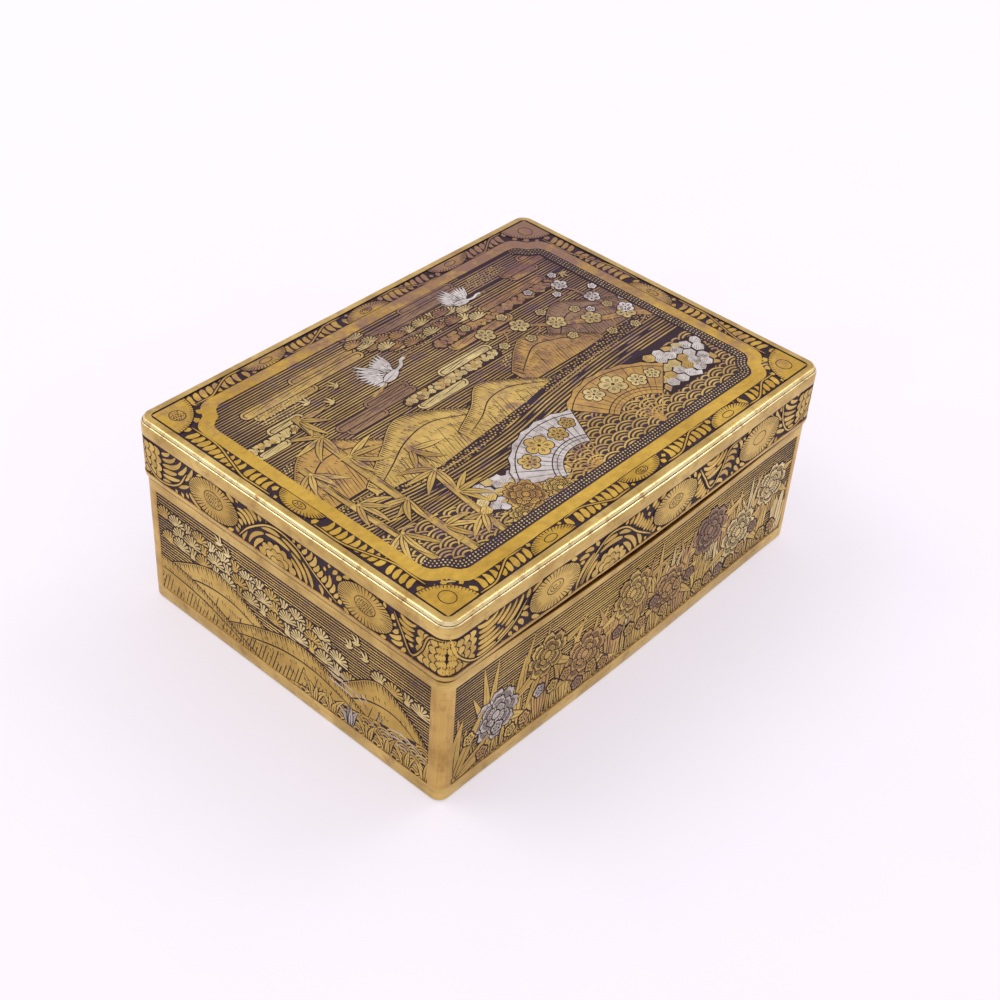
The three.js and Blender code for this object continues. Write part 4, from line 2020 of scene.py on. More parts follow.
@dataclass
class LidBands:
    """The ornament band round the lid's sides: chrysanthemums among vines, crescents and scales.

    Args:
        sizes: The box's sizes.
        rim: The rim that carries it.
        half_width: Half the width of a flower.
        half_height: Half its height before it is cut.
        width: A crescent's width.
        gap: The dark gap beside a crescent.
    """

    sizes: BoxSizes
    rim: LidRim
    half_width: float = 5.6
    half_height: float = 3.5
    width: float = 0.76
    gap: float = 0.25

    def _flower(self, side: Side, place: float, number: int) -> Chrysanthemum:
        """One chrysanthemum of a side, as (along, height).

        Args:
            side: The side.
            place: Its place along the side.
            number: Its number.

        Returns:
            The flower.
        """
        low, high = self.rim.band_low, self.rim.band_high
        ring = (Ring.PLAIN, Ring.WOUND, Ring.STIPPLED)[number % 3] if side.is_long else Ring.STIPPLED
        return Chrysanthemum(
            (place, (low + high) / 2), self.half_width, self.half_height, ring=ring, eye=(0.0, 0.2),
            eye_size=(1.75, 1.15) if side.is_long else (2.1, 1.5), vein=0.42, pitch=0.66,
            lowest=low + 0.1, highest=high - 0.1,
        )

    def build(self, workshop: Workshop) -> None:
        """Builds and seats the band of every side."""
        for side in Side:
            self._side(workshop, side)

    def _side(self, workshop: Workshop, side: Side) -> None:
        """Lays the flowers and the scroll work of one side.

        Args:
            workshop: Where they are made.
            side: The side.
        """
        ground = self.sizes.lid.grown(-self.rim.depth)
        chart = WallChart(ground, side)
        end = ground.straight(side) + ground.radius * math.pi / 4
        low, high = self.rim.band_low, self.rim.band_high
        plot = Plot((-end, low), (end, high))
        for edge in (low, high):
            plot.take_path(np.array([(-end, edge), (end, edge)]), 0.2)
        centres = []
        for number in range(1, (3 if side.is_long else 2) + 1):
            node = f"side_flower_{side.name.lower()}_{number}"
            flower = self._flower(side, place_along(node, side), number)
            inlay = Inlay(chart, 70 + number + 5 * side.value)
            flower.lay(inlay, FLOWER_TIER)
            made = inlay.piece(workshop, f"side_chrysanthemum_{side.name.lower()}_{number}")
            workshop.seat(made, Body.LID, Slot.GOLD, node)
            plot.take_inside(flower.outline(), 0.14)
            centres.append(flower.centre)
        inlay = Inlay(chart, 90 + side.value)
        work = ScrollWork(inlay, plot, self.width, self.gap, 0.27)
        for sign, middle in ((-1, 0.0), (1, 180.0)):
            work.scales((sign * (end + 7.0), (low + high) / 2), 1.5, 4, middle - 34, middle + 34, 6.95)
        runs = [-end, *[c[0] for c in centres], end]
        for number, (a, b) in enumerate(zip(runs, runs[1:])):
            left = a + (self.half_width + 0.2 if number else 0.0)
            right = b - (self.half_width + 0.2 if number < len(centres) else 0.0)
            self._gap(work, left, right, number + side.value)
        for centre in centres:
            work.rings(centre, self.half_width + 0.6, self.half_height + 0.6)
        self._fill(work, centres, end)
        workshop.seat(inlay.piece(workshop, f"side_scroll_{side.name.lower()}"), Body.LID, Slot.GOLD)

    def _gap(self, work: ScrollWork, left: float, right: float, kind: int) -> None:
        """Lays the vines and the larger leaves between two flowers.

        Args:
            work: The scroll work.
            left: Where the gap starts.
            right: Where it ends.
            kind: Its number; the three ways of filling a gap take turns.
        """
        if right - left < 4:
            return
        share = np.array([right - left, self.rim.band_height])

        def at(u: float, v: float) -> np.ndarray:
            """A place in the gap, by shares of its length and height."""
            return (left, self.rim.band_low) + share * (u, v)

        if kind % 3 == 0:
            course = [(0.02, 1.0), (0.1, 0.5), (0.3, 0.1), (0.55, 0.08), (0.8, 0.3), (0.97, 0.72)]
            bowl = work.stem([at(*p) for p in course])
            work.nest(at(0.45, 1.12), (1.25, 1.0), 1.1, 7, 180, 360)
            work.comb(bowl, -2.6, 0.8, 0.2)
        elif kind % 3 == 1:
            course = [(0.0, 0.1), (0.12, 0.5), (0.34, 0.9), (0.58, 0.84), (0.78, 0.45), (1.0, 0.1)]
            hill = work.stem([at(*p) for p in course])
            work.scales(at(0.4, -0.06), 1.5, 3, 8, 172)
            work.nest(at(0.4, -0.06), (1.2, 1.0), 4.3, 3, 0, 180)
            work.comb(hill, 3.4, -0.9, -0.24)
        else:
            course = [(0.0, 0.92), (0.16, 0.55), (0.36, 0.12), (0.56, 0.4), (0.7, 0.86), (0.98, 0.95)]
            rise = work.stem([at(*p) for p in course])
            work.comb(rise, -3.2, 0.9, 0.28)
            work.nest(at(0.3, 1.1), (1.0, 0.9), 0.9, 5, 180, 360)
            work.comb(rise, 3.4, 0.9, -0.28)

    def _fill(self, work: ScrollWork, centres: list[Point], end: float) -> None:
        """Fills what is left of a side, with crescents that turn about the nearest flower.

        Args:
            work: The scroll work.
            centres: The flowers' middles.
            end: Half the length of the side's work.
        """

        def flow(spot: Point) -> float:
            """Across the line to the nearest flower."""
            u, v = min(centres, key=lambda c: abs(c[0] - spot[0]))
            return math.degrees(math.atan2(spot[1] - v, spot[0] - u)) + 90

        work.fill(flow, 1.7, (-end, self.rim.band_low), (end, self.rim.band_high))


class Motifs(Inlay):
    """Inlay with the pictures' stock of motifs: mist, hills, water, leaves, blossoms, fans and birds."""

    def mark(self, path: Path, width: float, tier: float, taper: Taper = Taper.TIP) -> None:
        """Engraves a stroke in the foil of a tier."""
        self.engrave(path, width, tier + MARK, taper)

    def outlined(self, path: Path, width: float, tier: float, finish: Finish, taper: Taper) -> None:
        """Lays a strand with a dark line on both sides."""
        self.engrave(path, width / self.cut + 0.29, tier - 0.5, taper)
        self.strand(path, width, tier, finish, taper)

    def leaf(
        self, path: Path, width: float, tier: float, finish: Finish = Finish.GOLD, rib: bool = True
    ) -> None:
        """Lays a leaf or a feather, with a dark line round it.

        Args:
            path: Its middle line.
            width: Its width.
            tier: Its tier.
            finish: Its finish.
            rib: Whether it also has a dark line down its middle, if it is broad enough.
        """
        self.outlined(path, width, tier, finish, Taper.LEAF)
        if rib and width > 0.55:
            self.mark(path[: max(2, int(len(path) * 0.85))], 0.13, tier)

    def cloud(
        self, centre: Point, length: float, thick: float, tier: float, finish: Finish, filled: bool = False
    ) -> None:
        """Lays a bank of mist: three long bars with round ends, lined or filled with cells.

        Args:
            centre: Its middle.
            length: The longest bar's length.
            thick: A bar's height.
            tier: Its tier.
            finish: Its finish.
            filled: Whether the longest bar is filled with cells.
        """

        def bar(radius: float, last: float, steps: int) -> Path:
            """The outline of the present bar with round ends of a radius, the left one up to an angle."""
            right = arc(middle + (reach, 0), radius, radius, -90, 90, steps)
            return np.vstack([right, arc(middle - (reach, 0), radius, radius, 90, last, steps)])

        for dx, dy, share in ((0.22, 0.85, 0.55), (-0.2, -0.8, 0.5), (0.0, 0.0, 1.0)):
            middle = np.array(centre) + (dx * length, dy * thick)
            reach = (length * share - thick) / 2
            outline = bar(thick / 2, 270, 9)
            if filled and share == 1.0:
                self.plate(outline, tier, Finish.ENGRAVED)
                self.cells(outline, thick * 0.55, tier + 1, (finish, finish, Finish.GOLD))
                continue
            self.plate(outline, tier, finish)
            self.mark(bar(thick / 2 - 0.5, 250, 7), 0.17, tier, Taper.SOFT)
            inner = (outline - middle) * (0.9, 0.5) + middle
            self.hatch(inner, 0.42, 8, 0.13, tier + MARK, Finish.ENGRAVED, keep=0.3)
            tier += 1

    def hill(
        self, ridge: Sequence[Point], base: float, tier: float, finish: Finish, ticks: float = 1.5
    ) -> None:
        """Lays a hill down to a base line, with strokes that hang from its ridge and shade at its foot.

        Args:
            ridge: Points along its top.
            base: The height of its foot.
            tier: Its tier.
            finish: Its finish.
            ticks: The length of the strokes under the ridge.
        """

        def hang(x: float, y: float, drop: float, width: float, shift: Point = (0.0, 0.0)) -> None:
            """Engraves a stroke that hangs down from a point, and ends above the foot."""
            end = (x + 0.3 * drop, max(y - drop, base + 0.1))
            self.mark(np.array([(x + shift[0], y + shift[1]), end]), width, tier)

        top = evenly(smooth(ridge), 0.4 * self.cut)
        self.plate(np.vstack([top, [(top[-1][0], base), (top[0][0], base)]]), tier, finish)
        for k, (x, y) in enumerate(top[1:-1]):
            hang(x, y, ticks * self.rng.uniform(0.6, 1.2) * (0.6 if k % 2 else 1.0), 0.2, (0.05, -0.12))
        for share in (0.78, 0.56, 0.34):
            for x, y in top[2:-2]:
                if self.rng.random() < 0.5:
                    y = base + (y - base) * share + self.rng.uniform(-0.3, 0.3)
                    hang(x, y, ticks * self.rng.uniform(0.3, 0.8), 0.14)
        waist = np.column_stack([top[:, 0], base + (top[:, 1] - base) * 0.6])
        foot = np.vstack([waist[2:-2], [(top[-3][0], base), (top[2][0], base)]])
        self.hatch(foot, 0.5 * self.cut, 72, 0.12, tier + MARK, Finish.ENGRAVED, keep=0.25)
        fold = smooth(top[:: max(1, len(top) // 5)] * (1, 0.75) + (0.8, base * 0.25 - 0.6))
        self.engrave(evenly(fold, 0.8), 0.2, tier + 0.6, Taper.CRESCENT)

    def waves(self, outline: Path, radius: float, tier: float) -> None:
        """Fills an outline with rows of wave scales.

        Args:
            outline: Where the scales lie.
            radius: A scale's radius.
            tier: Their tier.
        """
        low, high = outline.min(0) - radius, outline.max(0) + radius
        covers = [(radius, -radius / 2), (-radius, -radius / 2), (0.0, -radius)]
        runs = []
        for share in (0.97, 0.7, 0.42):
            ring = arc((0, 0), radius * share, radius * share, 0, 180, 26)
            clear = np.all([np.hypot(*(ring - c).T) > radius * 1.02 for c in covers], axis=0)
            for part in np.split(ring, np.flatnonzero(np.diff(clear)) + 1):
                if len(part) > 3 and all(math.dist(part[len(part) // 2], c) > radius for c in covers):
                    runs.append(part)
        for row, y in enumerate(np.arange(low[1], high[1], radius / 2)):
            for x in np.arange(low[0] + (row % 2) * radius, high[0], 2 * radius):
                for run in runs:
                    placed = run + (x, y)
                    kept = placed[inside(placed, outline)]
                    if len(kept) > 3:
                        self.strand(kept, WAVE_LINE, tier, Finish.GOLD, Taper.SOFT)

    def stream(self, guide: Sequence[Point], width: float, count: int, tier: float, finish: Finish) -> None:
        """Lays flowing lines of water.

        Args:
            guide: The stream's course.
            width: Its width.
            count: How many lines lie side by side.
            tier: Their tier.
            finish: Their finish.
        """
        line = smooth(guide)
        for k in range(count):
            path = evenly(beside(line, (k / (count - 1) - 0.5) * width), 1.0)
            cuts = sorted(self.rng.sample(range(1, len(path)), min(3, len(path) - 1)))
            for part in np.split(path, cuts):
                if len(part) > 2:
                    self.strand(part[: max(3, len(part) - 1)], 0.3, tier, finish, Taper.CRESCENT)

    def blossom(self, centre: Point, radius: float, tier: float, finish: Finish, turn: float = 90.0) -> None:
        """Lays a blossom of five round petals.

        Args:
            centre: Its middle.
            radius: Its radius.
            tier: Its tier.
            finish: Its finish.
            turn: The direction of one petal in degrees.
        """
        turns = np.arange(0, 360, 9.0)
        reach = radius * (0.66 + 0.34 * np.abs(np.cos(np.radians(2.5 * turns))) ** 0.55)
        self.plate(polar(turns + turn, reach) + centre, tier, finish)
        width = 0.13 if radius > 1.2 else 0.1
        for k in range(5):
            for offset, start, end in ((36, 0.62, 0.2), (-9, 0.62, 0.28), (9, 0.62, 0.28), (0, 0.72, 0.22)):
                out = ray(turn + 72 * k + offset, radius)
                self.mark(np.array([centre + out * start, centre + out * end]), width, tier)
        self.dot(centre, radius * 0.14, tier + 0.6, Finish.ENGRAVED)

    def peony(self, centre: Point, radius: float, tier: float, finish: Finish) -> None:
        """Lays a full blossom: three rings of waved petals round a bud, with veins.

        Args:
            centre: Its middle.
            radius: Its radius.
            tier: The lowest petal's tier.
            finish: Its finish.
        """
        for ring, (share, count) in enumerate(((1.0, 8), (0.7, 6), (0.42, 4))):
            for k in range(count):
                way = 360 / count * k + 23 * ring + self.rng.uniform(-5, 5)
                raised = tier + ring * 2.4 + (k % 2) * 1.1
                self._petal(centre, radius * share, way, 190 / count, raised, finish)
        self.plate(arc(centre, radius * 0.17, radius * 0.17, 0, 330, 9), tier + 7.4, finish)

    def _petal(
        self, centre: Point, reach: float, way: float, spread: float, tier: float, finish: Finish
    ) -> None:
        """Lays one petal with its veins.

        Args:
            centre: The middle of the blossom.
            reach: The petal's length.
            way: Its direction in degrees.
            spread: Half its width in degrees.
            tier: Its tier.
            finish: Its finish.
        """
        share = np.linspace(-1, 1, 17)
        rim = reach * (1 - 0.22 * np.abs(share) ** 2.5 - 0.045 * np.cos(share * 9))
        outline = np.vstack([polar(way + spread * share, rim), [(0.0, 0.0)]]) + centre
        self.plate(outline, tier, finish, halo=0.13)
        for side in np.linspace(-0.7, 0.7, 9 if reach > 3 else 5):
            out = ray(way + spread * side, reach)
            start = centre + out * (0.88 - 0.1 * abs(side))
            end = centre + out * self.rng.uniform(0.4, 0.6)
            self.mark(bow_between(start, end, 0.06 * side, 3), 0.12, tier)

    def spray(self, root: Point, way: float, count: int, length: float, tier: float, finish: Finish) -> None:
        """Lays a spray of long leaves.

        Args:
            root: The point that they hang from.
            way: Their middle direction in degrees.
            count: How many there are.
            length: Their length.
            tier: The lowest leaf's tier.
            finish: Their finish.
        """
        self.dot(root, 0.34, tier + 4, finish)
        for k in range(count):
            turn = way + (k - (count - 1) / 2) * 34 + self.rng.uniform(-6, 6)
            tip = root + ray(turn, length * self.rng.uniform(0.75, 1.1))
            path = bow_between(root, tip, self.rng.uniform(-0.09, 0.09), 8)
            self.leaf(path, length * 0.17, tier + 0.9 * (k % 3), finish)

    def bamboo(self, foot: Point, top: Point, width: float, tier: float) -> None:
        """Lays a bamboo stalk with its joints, shaded along one side.

        Args:
            foot: Where it starts.
            top: Where it ends.
            width: Its width.
            tier: Its tier.
        """
        stalk = evenly(bow_between(foot, top, 0.02, 10), BAMBOO_JOINT)
        for a, b in zip(stalk, stalk[1:]):
            run = b - a
            path = np.array([a + run * 0.035, (a + b) / 2, b - run * 0.035])
            self.outlined(path, width, tier, Finish.GOLD, Taper.NONE)
            for offset in (0.18, 0.3, 0.4):
                self.mark(beside(path, -width * offset) * 0.97 + a * 0.03, 0.1, tier, Taper.CRESCENT)
            cross = np.array([-run[1], run[0]]) / np.hypot(*run) * width * 0.62
            self.strand(np.array([b - cross, b, b + cross]), 0.3, tier + 0.3, Finish.GOLD, Taper.SOFT)

    def branch(self, points: Sequence[Point], width: float, tier: float, finish: Finish) -> Path:
        """Lays a bare branch that thins to its tip, with marks of bark.

        Args:
            points: Where it passes.
            width: Its width at the root.
            tier: Its tier.
            finish: Its finish.

        Returns:
            Its middle line.
        """
        path = evenly(smooth(points), 0.8)
        path[1:-1] += [(self.rng.uniform(-0.09, 0.09), self.rng.uniform(-0.09, 0.09)) for _ in path[1:-1]]
        self.outlined(path, width, tier, finish, Taper.TIP)
        for k in range(1, int(len(path) * 0.7), 2):
            bark = bow_between(path[k], path[k] + (path[k + 1] - path[k]) * 1.3, 0.2, 3)
            self.mark(bark, 0.12, tier, Taper.CRESCENT)
        return path

    def plum(self, points: Sequence[Point], width: float, size: float, tier: float, finish: Finish) -> None:
        """Lays a plum branch with twigs, blossoms and buds.

        Args:
            points: Where it passes.
            width: Its width at the root.
            size: A blossom's radius.
            tier: The branch's tier.
            finish: The blossoms' finish.
        """
        path = self.branch(points, width, tier, Finish.RED_GOLD)
        for k in range(3, len(path) - 1, 4):
            sign = 1 if (k // 4) % 2 else -1
            run = path[k + 1] - path[k - 1]
            side = np.array([-run[1], run[0]]) / (np.hypot(*run) or 1) * sign
            tip = path[k] + side * size * 2.1 + run * 1.2
            self.strand(bow_between(path[k], tip, 0.15 * sign, 6), 0.34, tier, Finish.RED_GOLD, Taper.TIP)
            self.blossom(tip, size * 0.55, tier + 1.5, finish, self.rng.uniform(0, 72))
            if k % 8 == 3:
                self.blossom(path[k] + side * size * 0.3, size, tier + 3, finish, self.rng.uniform(0, 72))

    def fan(
        self,
        pivot: Point,
        radius: float,
        start: float,
        end: float,
        tier: float,
        finish: Finish,
        field: Finish,
    ) -> None:
        """Lays an open folding fan: ribs, pleated leaf with two borders, and blossoms on it.

        Args:
            pivot: Where its ribs meet.
            radius: Its radius.
            start: First angle in degrees.
            end: Last angle.
            tier: Its tier.
            finish: The leaf's finish.
            field: The blossoms' finish.
        """
        count = int((end - start) / FAN_FOLD)
        turns = np.linspace(start, end, count + 1)
        inner = radius * 0.44
        outer_line = polar(turns, radius * np.where(np.arange(count + 1) % 2, 0.975, 1.0)) + pivot
        inner_line = polar(turns, inner) + pivot
        for k in range(0, count + 1, 2):
            rib = np.array([pivot, inner_line[k] * 0.98 + np.array(pivot) * 0.02])
            self.strand(rib, radius * 0.045, tier - 0.2, Finish.RED_GOLD, Taper.SOFT)
        self.plate(np.vstack([outer_line, inner_line[::-1]]), tier, finish)
        for share, width in ((0.93, 0.16), (0.55, 0.16), (0.5, 0.1)):
            line = arc(pivot, radius * share, radius * share, start, end, count)
            self.engrave(line, width, tier + 0.8, Taper.NONE)
        spots = ((0, 0.74, 0.16), (-0.5, 0.7, 0.11), (0.48, 0.78, 0.12), (-0.82, 0.8, 0.09))
        for offset, share, size in spots:
            way = (start + end) / 2 + offset * (end - start) / 2
            self.blossom(pivot + ray(way, radius * share), radius * size, tier + 2, field, way)
        reaches = (inner * 1.02, radius * 0.72, radius * 0.96)
        for k, turn in enumerate(turns[1:-1]):
            pleat = np.array([pivot + ray(turn, reach) for reach in reaches])
            self.mark(pleat, 0.17 if k % 2 else 0.1, tier, Taper.SOFT)
        self.dot(pivot, radius * 0.05, tier + 1, finish)

    def crane(self, centre: Point, size: float, way: float, tier: float) -> None:
        """Lays a flying crane, silver, with spread wings.

        Args:
            centre: Its middle.
            size: Its size; its neck and its legs reach further.
            way: The direction that it flies in, in degrees.
            tier: The lowest feather's tier.
        """

        def at(*points: Point) -> Path:
            """Points in the bird's own measures, put in the picture."""
            return turned(np.array(points, float) * size, way) + centre

        for k in (-1, 0, 1):
            tail = at((-0.35, 0.02), (-0.62, 0.08 * k), (-0.92, 0.13 * k))
            self.leaf(tail, 0.16 * size, tier, Finish.SILVER)
        for drop in (0.1, 0.17):
            self.strand(at((-0.5, -0.05), (-1.0, -drop), (-1.5, -drop)), 0.05 * size, tier, Finish.GOLD)
        wings = (((0.2, 0.1), 62, 8.5, 7, 1.35, 0.0), ((-0.05, 0.08), 104, 9.5, 8, 1.5, 3.0))
        for root, first, step, count, long, up in wings:
            for k in range(count):
                turn, reach = first + step * k, long * (1 - 0.055 * k)
                bent = at(root, root + ray(turn - math.degrees(0.12), reach * 0.5), root + ray(turn, reach))
                path = evenly(smooth(bent, 5), size * 0.2)
                self.leaf(path, 0.2 * size, tier + up + 0.35 * k, Finish.SILVER)
                cover = path[: max(3, len(path) // 2)]
                self.leaf(cover, 0.15 * size, tier + up + 3.2 + 0.2 * k, Finish.SILVER, rib=False)
        trunk = evenly(smooth(at((-0.5, 0.0), (0.1, 0.03), (0.6, 0.12))), 0.3)
        self.leaf(trunk, 0.42 * size, tier + 9, Finish.SILVER)
        neck = evenly(smooth(at((0.4, 0.08), (0.75, 0.1), (1.05, 0.3), (1.32, 0.32))), 0.3)
        self.engrave(neck, 0.2 * size, tier + 9)
        self.strand(neck, 0.13 * size, tier + 9.5, Finish.SILVER)
        head = arc(at((1.36, 0.32))[0], 0.09 * size, 0.08 * size, 0, 320, 8)
        self.plate(head, tier + 9.8, Finish.RED_GOLD, 0.08)
        self.strand(at((1.42, 0.32), (1.78, 0.3)), 0.07 * size, tier + 9.5, Finish.GOLD, Taper.TIP)

    def plover(self, centre: Point, size: float, way: float, tier: float) -> None:
        """Lays a small bird on the wing.

        Args:
            centre: Its middle.
            size: Half its length, about.
            way: The direction that it flies in, in degrees.
            tier: Its tier.
        """
        trunk = ((-0.6, 0), (0.6, 0.1), 0.42)
        wings = (((-0.05, 0), (-0.45, 0.95), 0.3), ((0.1, 0), (0.3, 1.0), 0.3))
        for first, last, width in (trunk, *wings):
            line = turned(bow_between(first, last, -0.12, 6) * size, way) + centre
            self.leaf(line, width * size, tier + 1, Finish.PALE_GOLD, rib=False)

    def blades(
        self,
        foot: Point,
        height: float,
        count: int,
        spread: float,
        tier: float,
        finish: Finish,
        width: float = 0.85,
    ) -> None:
        """Lays a tuft of long blades.

        Args:
            foot: Where it stands.
            height: The blades' height.
            count: How many there are.
            spread: How far apart their tips are.
            tier: The lowest blade's tier.
            finish: Their finish.
            width: A blade's width.
        """
        for k in range(count):
            lean = (k - (count - 1) / 2) * spread / count + self.rng.uniform(-0.4, 0.4)
            tall = height * self.rng.uniform(0.65, 1.05)
            course = np.array([(lean * 0.25, 0.0), (lean * 0.6, tall * 0.6), (lean * 1.5, tall)]) + foot
            self.leaf(evenly(smooth(course), 1.0), width, tier + 0.7 * (k % 3), finish)

    def tuft(self, centre: Point, radius: float, way: float, tier: float, finish: Finish) -> None:
        """Lays a fan of pine needles.

        Args:
            centre: Where the needles meet.
            radius: Their length.
            way: The direction of the middle one in degrees.
            tier: Its tier.
            finish: Its finish.
        """
        rim = radius * np.where(np.arange(17) % 2, 0.9, 1.0)
        outline = polar(way + 92 * np.linspace(-1, 1, 17), rim)
        self.plate(np.vstack([outline, [ray(way, -0.18 * radius)]]) + centre, tier, finish, halo=0.2)
        for side in np.linspace(-0.87, 0.87, 8):
            out = ray(way + 92 * side, radius)
            self.mark(np.array([centre + out * 0.93, centre + out * 0.28]), 0.2, tier)

    def _share_within(self, centre: Point, out: np.ndarray, outline: Path) -> float:
        """How much of the step from a cell's middle to a corner stays inside an outline.

        Args:
            centre: The cell's middle.
            out: The whole step.
            outline: The outline.

        Returns:
            The greatest share that does, of a few.
        """
        shares = (1.0, 0.75, 0.5, 0.25)
        return next((s for s in shares if inside((centre + s * out)[None], outline)[0]), 0.12)

    def cells(self, outline: Path, cell: float, tier: float, finishes: Sequence[Finish]) -> None:
        """Fills an outline with uneven cells like cracked ice, each shaded with a few strokes.

        Args:
            outline: Where the cells lie.
            cell: A cell's width.
            tier: Their tier.
            finishes: The finishes that they may have.
        """
        low, high = outline.min(0), outline.max(0)
        for row, v in enumerate(np.arange(low[1], high[1] + cell, cell * 0.8)):
            for u in np.arange(low[0] + (row % 2) * cell / 2, high[0] + cell, cell):
                centre = np.array([u, v]) + np.array([self.rng.uniform(-0.12, 0.12) for _ in "uv"]) * cell
                if not inside(centre[None], outline)[0]:
                    continue
                turns = np.arange(30, 390, 60) + [self.rng.uniform(-10, 10) for _ in range(6)]
                rays = polar(turns, cell * 0.53)
                held = [self._share_within(centre, out, outline) for out in rays]
                shape = centre + rays * np.array(held)[:, None]
                self.plate(shape, tier, self.rng.choice(finishes), halo=0.09)
                if min(held) > 0.7:
                    way = self.rng.choice((20, 40, 70))
                    shade = shape * 0.82 + centre * 0.18
                    self.hatch(shade, 0.34, way, 0.13, tier + MARK, Finish.ENGRAVED, keep=0.1)


@dataclass
class LidPicture:
    """The picture inside the gold frame: hills and mist, cranes, a stream, fans, bamboo, pine and plum."""

    sizes: BoxSizes
    gold_frame: GoldFrame

    def build(self, workshop: Workshop) -> None:
        """Builds and seats the picture, one piece for each part of it.

        Args:
            workshop: Where it is made.
        """
        parts = (self._sky, self._land, self._water, self._fans, self._garden, self._birds)
        for seed, part in enumerate(parts, 201):
            work = Motifs(TopChart(self.sizes.ground_top), seed, 1.2)
            work.gold = Finish.OLD_GOLD
            part(work)
            workshop.seat(work.piece(workshop, f"picture{part.__name__}"), Body.LID, Slot.GOLD)

    def _sky(self, work: Motifs) -> None:
        """The hatched ground behind all the rest, and the banks of mist.

        Args:
            work: The inlay of this part.
        """
        work.hatch(self.gold_frame.inner() * 1.02, 0.56, 0, 0.19, 0, Finish.GOLD, keep=0.85)
        for centre, length, thick, finish, filled in (
            ((-21, 21.5), 26, 2.0, Finish.GOLD, False),
            ((17, 14.5), 30, 2.5, Finish.RED_GOLD, True),
            ((6, 24), 24, 2.0, Finish.COPPER, False),
            ((33, 21.5), 14, 2.0, Finish.RED_GOLD, False),
            ((-33, 14), 13, 2.0, Finish.PALE_GOLD, True),
            ((-2, 6.5), 22, 2.3, Finish.PALE_GOLD, True),
            ((33, 5), 16, 2.0, Finish.COPPER, False),
            ((-17, 9), 17, 1.8, Finish.COPPER, False),
        ):
            work.cloud(centre, length, thick, 2, finish, filled)
        for x, y, reach in ((-28, 19, 5.5), (2, 18.5, 6), (24, 23.5, 5), (-34, 7, 4.5), (12, 3, 6)):
            work.stipple(arc((x, y), reach, reach * 0.36, 0, 340, 16), 0.68, 0.16, 5.5, Finish.PALE_GOLD)

    def _land(self, work: Motifs) -> None:
        """The hills, one before the other.

        Args:
            work: The inlay of this part.
        """
        work.hill([(-40, 3), (-35, 8), (-30, 9.5), (-25, 5.5), (-20, 1)], -4, 7, Finish.RED_GOLD)
        work.hill([(17, 2), (22, 7.5), (27, 9.5), (33, 5.5), (40, 2)], -2, 7, Finish.COPPER, 2.0)
        work.hill([(6, 1), (11, 5), (15, 6.5), (20, 3), (25, -1)], -3, 8.5, Finish.RED_GOLD, 2.0)
        work.hill([(-32, -4), (-24, 1), (-17, 5), (-10, 2), (-3, -4)], -8, 8.5, Finish.GOLD, 2.2)
        work.hill([(-12, -4), (-6, -1), (-1, 2.5), (4, 0), (10, -5)], -8, 10, Finish.GOLD, 1.8)

    def _water(self, work: Motifs) -> None:
        """The stream, the waves in front and the speckled strip along the frame.

        Args:
            work: The inlay of this part.
        """
        far_bank = [(-40, -5), (-20, -8), (2, -6), (20, -3), (40, -2)]
        near_bank = [(40, -11), (14, -12), (-10, -14), (-40, -11)]
        river = evenly(np.array([*far_bank, *near_bank, far_bank[0]], float), 2.5)[:-1]
        work.plate(river, 11, Finish.GROUND, halo=0)
        for shore in (
            [(-40, -4), (-18, -8), (2, -6), (2, -7.6), (-18, -10), (-40, -6)],
            [(6, -5), (40, -1), (40, -4), (6, -7.5)],
        ):
            work.stipple(np.array(shore, float), 0.7, 0.19, 12, Finish.GOLD)
        course = [(-40, -8.5), (-26, -11), (-8, -11), (6, -9), (22, -7.5), (40, -7)]
        work.stream(course, 4.6, 8, 12, Finish.GOLD)
        surf = [(-39.5, -13), (-24, -16.5), (-6, -16), (12, -13.5), (39.5, -10.5)]
        sea = np.array([(-39.5, -27.5), *surf, (39.5, -27.5)])
        work.plate(sea, 11.5, Finish.GROUND, halo=0.1)
        work.waves(sea, 2.5, 12)
        line = self.gold_frame.inner()
        edge = line[(line[:, 1] < -8) | (line[:, 0] > 30)]
        edge = edge[np.argsort(np.arctan2(edge[:, 1], edge[:, 0]))]
        strip = evenly(beside(edge, 1.0), 1.0)
        work.strand(strip, 2.0, 26, Finish.GROUND)
        for offset in (-0.55, 0.0, 0.55):
            for spot in evenly(beside(strip, offset), 0.62):
                work.dot(spot, 0.15 * work.rng.uniform(0.8, 1.2), 27, Finish.PALE_GOLD)

    def _fans(self, work: Motifs) -> None:
        """Open fans one on the other, and silver drifts of cells.

        Args:
            work: The inlay of this part.
        """
        silver = Finish.SILVER
        drift = [(20, -21), (34, -21), (37, -13), (24, -10.5)]
        shoal = [(-25, -20), (-12, -26), (-5, -21.5), (-12, -15.5), (-21, -14.5)]
        for outline, cell, silvers in ((drift, 2.2, [silver] * 3), (shoal, 1.9, [silver] * 2)):
            work.plate(np.array(outline, float), 13, Finish.ENGRAVED, halo=0.1)
            work.cells(np.array(outline, float), cell, 14, [*silvers, Finish.PALE_GOLD, Finish.GOLD])
        work.fan((14, -24), 15.5, 38, 128, 15, Finish.RED_GOLD, Finish.PALE_GOLD)
        work.fan((-2, -25.5), 15, 62, 156, 17.5, silver, Finish.GOLD)

